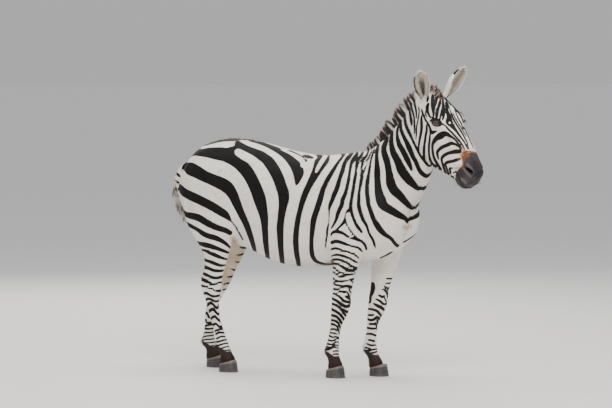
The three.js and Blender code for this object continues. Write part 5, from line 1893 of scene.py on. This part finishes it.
@dataclass
class Ridge:
    """Upright bristles in clumps along a line of the straight animal's middle."""

    name: str
    node: str
    rows: tuple
    base_half: float
    top_half: float
    count: int
    clump: float
    lean: float
    sunk: float
    finish: BristleFinish
    seed: int
    white: float = 0.0

    def build(self, markings: Markings) -> bpy.types.Object:
        """Makes the bristles.

        Args:
            markings: The drawn stripes, which run on into the hair.

        Returns:
            The finished piece.
        """
        rng = np.random.default_rng(self.seed)
        path = flowing(np.array(self.rows, float), 12)
        lengths = np.concatenate([[0], np.cumsum(np.hypot(*np.diff(path[:, :2], axis=0).T))])
        ahead = unit(np.gradient(path[:, :2], axis=0))
        place = np.sort(rng.uniform(0, lengths[-1], self.count))
        x, z, height, ax, az = (np.interp(place, lengths, column) for column in (*path.T, *ahead.T))
        offset = rng.uniform(-1, 1, self.count)
        bunch = np.floor(place / self.clump + 0.35 * np.sin(offset * 2.0)).astype(int)
        bunches = bunch.max() + 2
        tall = rng.uniform(0.74, 1.06, bunches)
        tilt = rng.normal(0, 0.16, bunches)
        bend = rng.normal(0, 0.3, bunches)
        middle = (bunch + 0.5) * self.clump
        high = height * tall[bunch] * rng.uniform(0.86, 1.03, self.count) * (1 - 0.16 * np.abs(offset))
        steps = np.linspace(0, 1, 6)[None, :]
        sweep = self.lean + tilt[bunch] + rng.normal(0, 0.07, self.count)
        along = (middle - place)[:, None] * 0.55 * steps + sweep[:, None] * high[:, None] * steps**1.6
        half = self.base_half + (self.top_half - self.base_half) * steps
        stray = rng.normal(0, 0.002, (self.count, 1)) * steps
        out = offset[:, None] * half + (bend[bunch] * 0.006)[:, None] * steps**2 + stray
        up = -self.sunk + (high[:, None] + self.sunk) * steps
        sx = x[:, None] + ax[:, None] * along - az[:, None] * up
        sz = z[:, None] + az[:, None] * along + ax[:, None] * up
        spines = STANCE.turned(np.stack([sx, out, sz], 2).reshape(-1, 3)).reshape(self.count, 6, 3)
        deep = 0.032
        under = np.stack([x + az * deep, np.sign(offset) * 0.03, z - ax * deep], 1)
        sides = STANCE.headed(np.stack([0 * x, np.sign(offset), 0.3 + 0 * x], 1), x)
        marks = markings.paint(STANCE.turned(under), unit(sides))
        white = rng.random(self.count) < self.white
        stripe = np.where(white, PALE, marks["stripe"] + 0.0008 + rng.normal(0, 0.0015, self.count))
        shade = rng.uniform(-1, 1, self.count)
        marks = {Mark.STRIPE.value: stripe, Mark.SHADE.value: shade, Mark.TAN.value: 1.0 * white}
        width = rng.uniform(0.0036, 0.0056, self.count)
        facing = np.stack([0.3 * rng.normal(size=self.count), np.sign(offset) + 0.01, 0 * x], 1)
        roots = np.stack([0.02 + 0.96 * place / lengths[-1], 0.5 + 0.47 * offset], 1)
        made = Strands(spines, width, 0.6, STANCE.headed(facing, x), roots, marks).build(self.name)
        return finished(made, self.finish.material(), Slot.HAIR, self.node)


@dataclass
class Tail:
    """The tassel's long locks, and the fringe down the dock."""

    finish: BristleFinish
    tassel: tuple = (
        (-0.853, 0.076, 0.912, 0.017), (-0.826, 0.122, 0.86, 0.024), (-0.800, 0.163, 0.78, 0.028),
        (-0.786, 0.190, 0.69, 0.027), (-0.778, 0.207, 0.61, 0.019), (-0.772, 0.216, 0.545, 0.006)
    )
    count: int = 1700
    locks: int = 60
    fringe: int = 1100

    def build(self, markings: Markings) -> bpy.types.Object:
        """Makes the locks and the fringe as one piece."""
        rng = np.random.default_rng(31)
        path = flowing(np.array(self.tassel), 8)
        place = np.linspace(0, 1, len(path))
        start = rng.uniform(0, 0.42, self.count) ** 1.25
        end = np.clip(start + rng.uniform(0.45, 0.95, self.count), 0, 1.0)
        end = end * rng.uniform(0.93, 1.0, self.count)
        steps = np.linspace(0, 1, 9)[None, :]
        where = start[:, None] + (end - start)[:, None] * steps
        cx, cy, cz, radius = (np.interp(where, place, column) for column in path.T)
        lock = rng.integers(0, self.locks, self.count)
        angle = rng.uniform(0, 2 * math.pi, self.locks)[lock] + rng.normal(0, 0.35, self.count)
        far = np.sqrt(rng.uniform(0.05, 1, self.locks))[lock] * rng.uniform(0.8, 1.05, self.count)
        wave = 0.18 * np.sin(where * 9 + rng.uniform(0, 6.3, self.locks)[lock][:, None])
        reach = radius * far[:, None] * (0.55 + 0.5 * np.sqrt(steps)) * (1 + wave)
        turn = angle[:, None] + 0.5 * wave
        long = np.stack([cx + reach * np.cos(turn), cy + reach * np.sin(turn), cz + 0 * reach], 2)
        root = rng.uniform(0.42, 1.0, self.fringe)
        dock = flowing(np.array(markings.dock), 6)
        dx, dy, dz, girth = (np.interp(root, np.linspace(0, 1, len(dock)), column) for column in dock.T)
        turn = rng.uniform(-math.pi, math.pi, self.fringe)
        spread = np.stack([np.cos(turn) * 0.8 - 0.2, np.sin(turn), 0 * turn], 1)
        foot = np.stack([dx, dy, dz], 1) + spread * (girth * 0.85)[:, None]
        length = rng.uniform(0.03, 0.06, self.fringe) * (0.5 + root * 0.8)
        fall = np.stack([0 * turn, 0.25 + 0 * turn, -1 + 0 * turn], 1)
        step = steps[:, :, None]
        swept = spread[:, None] * 0.5 * step * (1 - 0.5 * step) + fall[:, None] * step
        short = foot[:, None] + length[:, None, None] * swept
        spines = STANCE.turned(np.concatenate([long, short]).reshape(-1, 3)).reshape(-1, 9, 3)
        total = len(spines)
        pale = (rng.random(self.locks) < 0.16)[lock] & (start < 0.3)
        ringed = 0.006 * np.sin(root * 26) - 0.002 + rng.normal(0, 0.003, self.fringe)
        stripe = np.concatenate([np.where(pale, PALE, DARK), ringed])
        marks = {Mark.STRIPE.value: stripe, Mark.SHADE.value: rng.uniform(-1, 1, total)}
        thick = rng.uniform(0.003, 0.0052, self.count)
        width = np.concatenate([thick, rng.uniform(0.0022, 0.0034, self.fringe)])
        around = np.concatenate([angle, turn])
        up = unit(np.stack([np.cos(around), np.sin(around), np.zeros(total)], 1))
        down = 0.05 + 0.9 * np.concatenate([start, root])
        roots = np.stack([down, around / (2 * math.pi) % 1.0], 1)
        made = Strands(spines, width, 0.6, up, roots, marks).build("tail_hair")
        return finished(made, self.finish.material(), Slot.HAIR, "tail_tassel")


# ---- Eyes, hooves, whiskers ----------------------------------------------------------------------


@dataclass(frozen=True)
class Globe:
    """An eyeball with its clear bulge, iris and pupil."""

    iris: float = 0.0150
    bulge: float = 0.0012
    pupil: tuple[float, float] = (0.0066, 0.0036)

    def build(self, name: str, side: float, material: bpy.types.Material) -> bpy.types.Object:
        """Makes one eye."""
        middle, ways = EYE.frame(side)
        bm = bmesh.new()
        bmesh.ops.create_uvsphere(bm, u_segments=64, v_segments=40, radius=EYE.radius)
        mesh = settled(bm, name)
        points = place_points(mesh)
        out = np.hypot(points[:, 0], points[:, 1]) + 0.05 * (points[:, 2] < 0)
        points = points + unit(points) * (self.bulge * ease(out, self.iris, 0.002))[:, None]
        set_mark(mesh, Mark.ALONG.value, out / self.iris)
        pupil = np.hypot(points[:, 0] / self.pupil[0], points[:, 1] / self.pupil[1])
        set_mark(mesh, Mark.HOLLOW_SHADE_AND_PUPIL.value, pupil + 9 * (points[:, 2] < 0))
        set_points(mesh, middle + points @ ways)
        faced(mesh)
        return finished(linked(name, mesh), material, Slot.EYE, name.replace("globe", "eye"))


@dataclass(frozen=True)
class Hoof:
    """One hoof: its wall, heels and growth rings."""

    node: str
    shift: float
    side: float
    rows: tuple
    rings: int = 16
    segments: int = 56
    sole_edge: float = 0.0012
    out: float = 0.110

    def build(self, material: bpy.types.Material) -> bpy.types.Object:
        """Makes the hoof.

        Args:
            material: The horn.

        Returns:
            The finished piece.
        """
        rows = np.array(self.rows)
        share = np.linspace(0, 1, len(rows))
        bm = bmesh.new()
        turn = bm.verts.layers.float.new("turn")
        ring = bmesh.ops.create_circle(bm, cap_ends=True, segments=self.segments, radius=1.0)["verts"]
        bottom = list(ring)
        for v in ring:
            v[turn] = math.atan2(v.co.y, v.co.x)
        edges = list(bm.edges)
        for level in range(self.rings + 3):
            if level:
                made = bmesh.ops.extrude_edge_only(bm, edges=edges)["geom"]
                edges = [g for g in made if isinstance(g, bmesh.types.BMEdge)]
                edges = [e for e in edges if all(v in made for v in e.verts)]
                ring = [g for g in made if isinstance(g, bmesh.types.BMVert)]
            part = min(level / self.rings, 1.0)
            shrink = 1.0 - 0.16 * max(level - self.rings, 0)
            row = tuple(np.interp(part, share, column) for column in rows.T)
            for v in ring:
                self.set_vertex(v, v[turn], part, shrink, row)
        bmesh.ops.contextual_create(bm, geom=edges)
        rim = [e for e in bm.edges if all(v in bottom for v in e.verts)]
        bmesh.ops.bevel(
            bm, geom=rim, offset=self.sole_edge, offset_type="OFFSET", segments=2, profile=0.5,
            affect="EDGES", material=-1,
        )
        mesh = settled(bm, self.node)
        points = place_points(mesh)
        front = np.interp(points[:, 0], [rows[0, 3], rows[0, 2]], [rows[-1, 1], rows[-1, 0]])
        set_mark(mesh, Mark.ALONG.value, np.clip(points[:, 2] / front, 0, 1.05))
        points[:, 0] += self.shift
        set_points(mesh, STANCE.turned(points))
        return finished(linked(f"horn_{self.node}", mesh), material, Slot.HOOF, self.node)

    def set_vertex(self, v: bmesh.types.BMVert, turn: float, part: float, shrink: float, row: tuple) -> None:
        """Puts a vertex of a ring in its place on the wall."""
        front, heel, ahead, behind, half = row
        c, s = math.cos(turn), math.sin(turn)
        groove = 0.0005 * math.sin(part * 19.0) * (0.4 + 0.6 * max(c, 0))
        bulb = 0.05 * bell(abs(turn), 2.5, 0.35) - 0.10 * bell(abs(turn), math.pi, 0.22)
        swell = (1 + bulb * (0.4 + 0.6 * part)) * shrink
        long = (ahead - behind) / 2
        x = (ahead + behind) / 2 + (long * math.copysign(abs(c) ** 0.86, c) + groove * c) * swell
        y = (half + groove) * math.copysign(abs(s) ** 0.90, s) * (1.0 - 0.07 * max(-c, 0)) * swell
        tilt = (1 + c) / 2
        z = heel + (front - heel) * tilt + 0.004 * (1 - shrink)
        v.co = Vector((x, y + self.side * self.out, z if part > 0 else 0.0))


@dataclass
class Whiskers:
    """Stiff hairs on the lips and chin, and the upper lashes."""

    count: int = 90
    lashes: int = 46
    lash_span: tuple[float, float] = (math.radians(25), math.radians(158))

    def build(self, skin: bpy.types.Object, finish: BristleFinish) -> bpy.types.Object:
        """Makes the hairs.

        Args:
            skin: The skin that they stand on.
            finish: Their colour.

        Returns:
            The finished piece.
        """
        rng = np.random.default_rng(77)
        points, normals = place_points(skin.data), directions(skin.data)
        straight, _, measures = STANCE.parts(points)
        lips = (measures[:, 0] > 0.445) & (measures[:, 2] < -0.078) & (straight[:, 0] > 0.9)
        rows = rng.choice(np.flatnonzero(lips), self.count, replace=False)
        aim = STANCE.headed(np.tile([0.25, 0.0, -0.55], (self.count, 1)), straight[rows, 0])
        way = unit(normals[rows] + aim + rng.normal(0, 0.2, (self.count, 3)))
        length = rng.uniform(0.010, 0.030, self.count)
        step = np.linspace(0, 1, 4)[None, :, None]
        droop = np.array([0, 0, -0.25])
        spines = [points[rows][:, None] + length[:, None, None] * (way[:, None] * step + droop * step**2)]
        widths = [np.full(self.count, 0.0009)]
        for side in SIDES.values():
            middle, ways = EYE.frame(side)
            turn = np.linspace(*self.lash_span, self.lashes) + rng.normal(0, 0.03, self.lashes)
            local = np.stack([EYE.long * np.cos(turn), EYE.upper * 1.04 * np.sin(turn)], 1)
            deep = np.sqrt(np.maximum((EYE.radius + 0.003) ** 2 - (local**2).sum(1), 0))
            root = np.column_stack([local, deep])
            fan = np.column_stack([0.35 * np.cos(turn) + 0.25, 0.10 + 0 * turn, 1.0 + 0 * turn])
            grow = unit(fan + rng.normal(0, 0.12, (self.lashes, 3)))
            sag = np.array([0.15, -0.55, 0.0])
            reach = rng.uniform(0.010, 0.016, self.lashes)
            local_spines = root[:, None] + reach[:, None, None] * (grow[:, None] * step + sag * step**2)
            spines.append(middle + local_spines @ ways)
            widths.append(np.full(self.lashes, 0.0010))
        spines = np.concatenate(spines)
        total = len(spines)
        marks = {Mark.STRIPE.value: np.full(total, DARK), Mark.SHADE.value: rng.uniform(-1, 1, total)}
        roots = np.stack([rng.uniform(0.05, 0.95, total), rng.uniform(0.05, 0.95, total)], 1)
        facing = np.tile([0.1, 0.2, 1.0], (total, 1))
        made = Strands(spines, np.concatenate(widths), 1.0, facing, roots, marks).build("whiskers")
        return finished(made, finish.material(), Slot.HAIR)


# ---- Lights and floor ----------------------------------------------------------------------------


@dataclass(frozen=True)
class Studio:
    """A pale floor, a pale surround and soft lights."""

    floor_size: float = 300.0
    horizon: tuple = rgb(0.585, 0.585, 0.59)
    sky: tuple = rgb(0.93, 0.95, 1.0)
    surround: float = 0.85
    aim: tuple[float, float, float] = (0.1, 0, 0.9)

    def build(self) -> None:
        """Makes the floor, the world and the lamps."""
        bm = bmesh.new()
        bmesh.ops.create_grid(bm, x_segments=2, y_segments=2, size=self.floor_size)
        floor = linked("floor", settled(bm, "floor"))
        w = Surface("studio floor")
        w.put(w.shader, "Specular IOR Level", 0.1)
        screed = w.blend(w.noise(w.where, 3.0, 3.0), rgb(0.70, 0.69, 0.67), rgb(0.73, 0.72, 0.70))
        floor.data.materials.append(w.finish(screed, 0.9))
        floor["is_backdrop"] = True
        world = bpy.data.worlds.new("studio")
        bpy.context.scene.world = world
        world.use_nodes = True
        w = Wiring(world.node_tree)
        up = w.add("SeparateXYZ", None, {0: w.add("TexCoord").outputs["Generated"]}).outputs[2]
        surround = world.node_tree.nodes["Background"]
        w.put(surround, "Color", w.blend(w.step(up, 0.0, 0.9), self.horizon, self.sky))
        w.put(surround, "Strength", self.surround)
        for name, place, size, power in (
            ("key", (3.5, -6.0, 6.5), 5.0, 620.0),
            ("top", (-0.5, 0.5, 7.5), 6.0, 420.0),
            ("rim", (-5.0, 5.0, 4.5), 4.0, 260.0),
        ):
            lamp = bpy.data.lights.new(name, "AREA")
            lamp.shape, lamp.size, lamp.energy = "DISK", size, power
            lamp.color = (1.0, 0.975, 0.94)
            shown = bpy.data.objects.new(name, lamp)
            shown.location = place
            shown.rotation_euler = (Vector(self.aim) - Vector(place)).to_track_quat("-Z", "Y").to_euler()
            bpy.context.scene.collection.objects.link(shown)


def corners() -> list[list[float]]:
    """The whole object's lowest and highest corners as plain lists."""
    return [list(corner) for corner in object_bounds()]


def main() -> None:
    """Loads the frame, then builds and dresses each piece in turn."""
    logging.basicConfig(level=logging.INFO, format="%(name)s: %(message)s")
    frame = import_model()
    SHEET.camera()
    Studio().build()
    markings = Markings()
    nodes = frame["nodes"]
    ears = {
        "right": Ear(-1.0, -0.028, 0.35, 0.52, math.radians(41), 0.169),
        "left": Ear(1.0, -0.004, 0.42, 0.55, math.radians(14)),
    }
    hide = Hide()
    skin = hide.build(nodes, ears, markings)
    leather = CoatFinish("hide", 0.35, 0.62, 1.0).material()
    finished(skin, leather, Slot.HIDE, *hide.flesh, "ear_right", "ear_left")
    coat = CoatFinish("coat tufts", 0.25, 0.6, 1.06).material()
    Coat(skin, coat).dress()
    for number, (side, ear) in enumerate(ears.items()):
        spines, widths, ups, marks = ear.hair(60 + number)
        made = Strands(spines, widths, 0.5, ups, Chart.lay(spines[:, 0]), marks).build(f"ear_hair_{side}")
        finished(made, coat, Slot.HAIR)
    crown, brow = STANCE.laid([[0, 0, -0.006], [0.066, 0, 0.008]])
    tips = BristleFinish("mane bristles", rgb(0.085, 0.030, 0.014), 0.62)
    crest = (
        (0.405, 1.284, 0.026), (0.525, 1.362, 0.072), (0.605, 1.438, 0.082), (0.672, 1.510, 0.080),
        (0.738, 1.574, 0.070), (0.806, 1.618, 0.050), (crown[0] + 0.006, crown[2], 0.050),
    )
    Ridge("mane_hair", "mane", crest, 0.019, 0.009, 3400, 0.0145, 0.0, 0.014, tips, 11).build(markings)
    front = (
        (crown[0] - 0.030, crown[2], 0.048), (crown[0] + 0.012, crown[2] - 0.003, 0.040),
        (brow[0], brow[2], 0.012),
    )
    lock = BristleFinish("forelock hair", rgb(0.060, 0.020, 0.010), 0.35)
    fore_ridge = Ridge(
        "forelock_hair", "forelock", front, 0.026, 0.014, 1000, 0.012, 0.22, 0.012, lock, 12, 0.22
    )
    fore_ridge.build(markings)
    Tail(BristleFinish("tail hair", rgb(0.03, 0.018, 0.014), 0.9)).build(markings)
    wet = EyeFinish().material()
    for side, sign in SIDES.items():
        Globe().build(f"globe_{side}", sign, wet)
    horn = HornFinish().material()
    fore = (
        (0, 0, 0.313, 0.200, 0.047), (0.034, 0.022, 0.308, 0.201, 0.045),
        (0.070, 0.044, 0.302, 0.204, 0.042)
    )
    hind = (
        (0, 0, -0.394, -0.508, 0.045), (0.034, 0.022, -0.399, -0.507, 0.043),
        (0.070, 0.044, -0.405, -0.503, 0.040)
    )
    for end, rows, ahead in (("fore", fore, STANCE.fore_shift), ("hind", hind, STANCE.hind_shift)):
        for side, sign in SIDES.items():
            Hoof(f"{end}_hoof_{side}", ahead[0][1] if sign > 0 else 0.0, sign, rows).build(horn)
    Whiskers().build(skin, BristleFinish("whisker hair", rgb(0.03, 0.02, 0.02), 0.8))


if __name__ == "__main__":
    main()
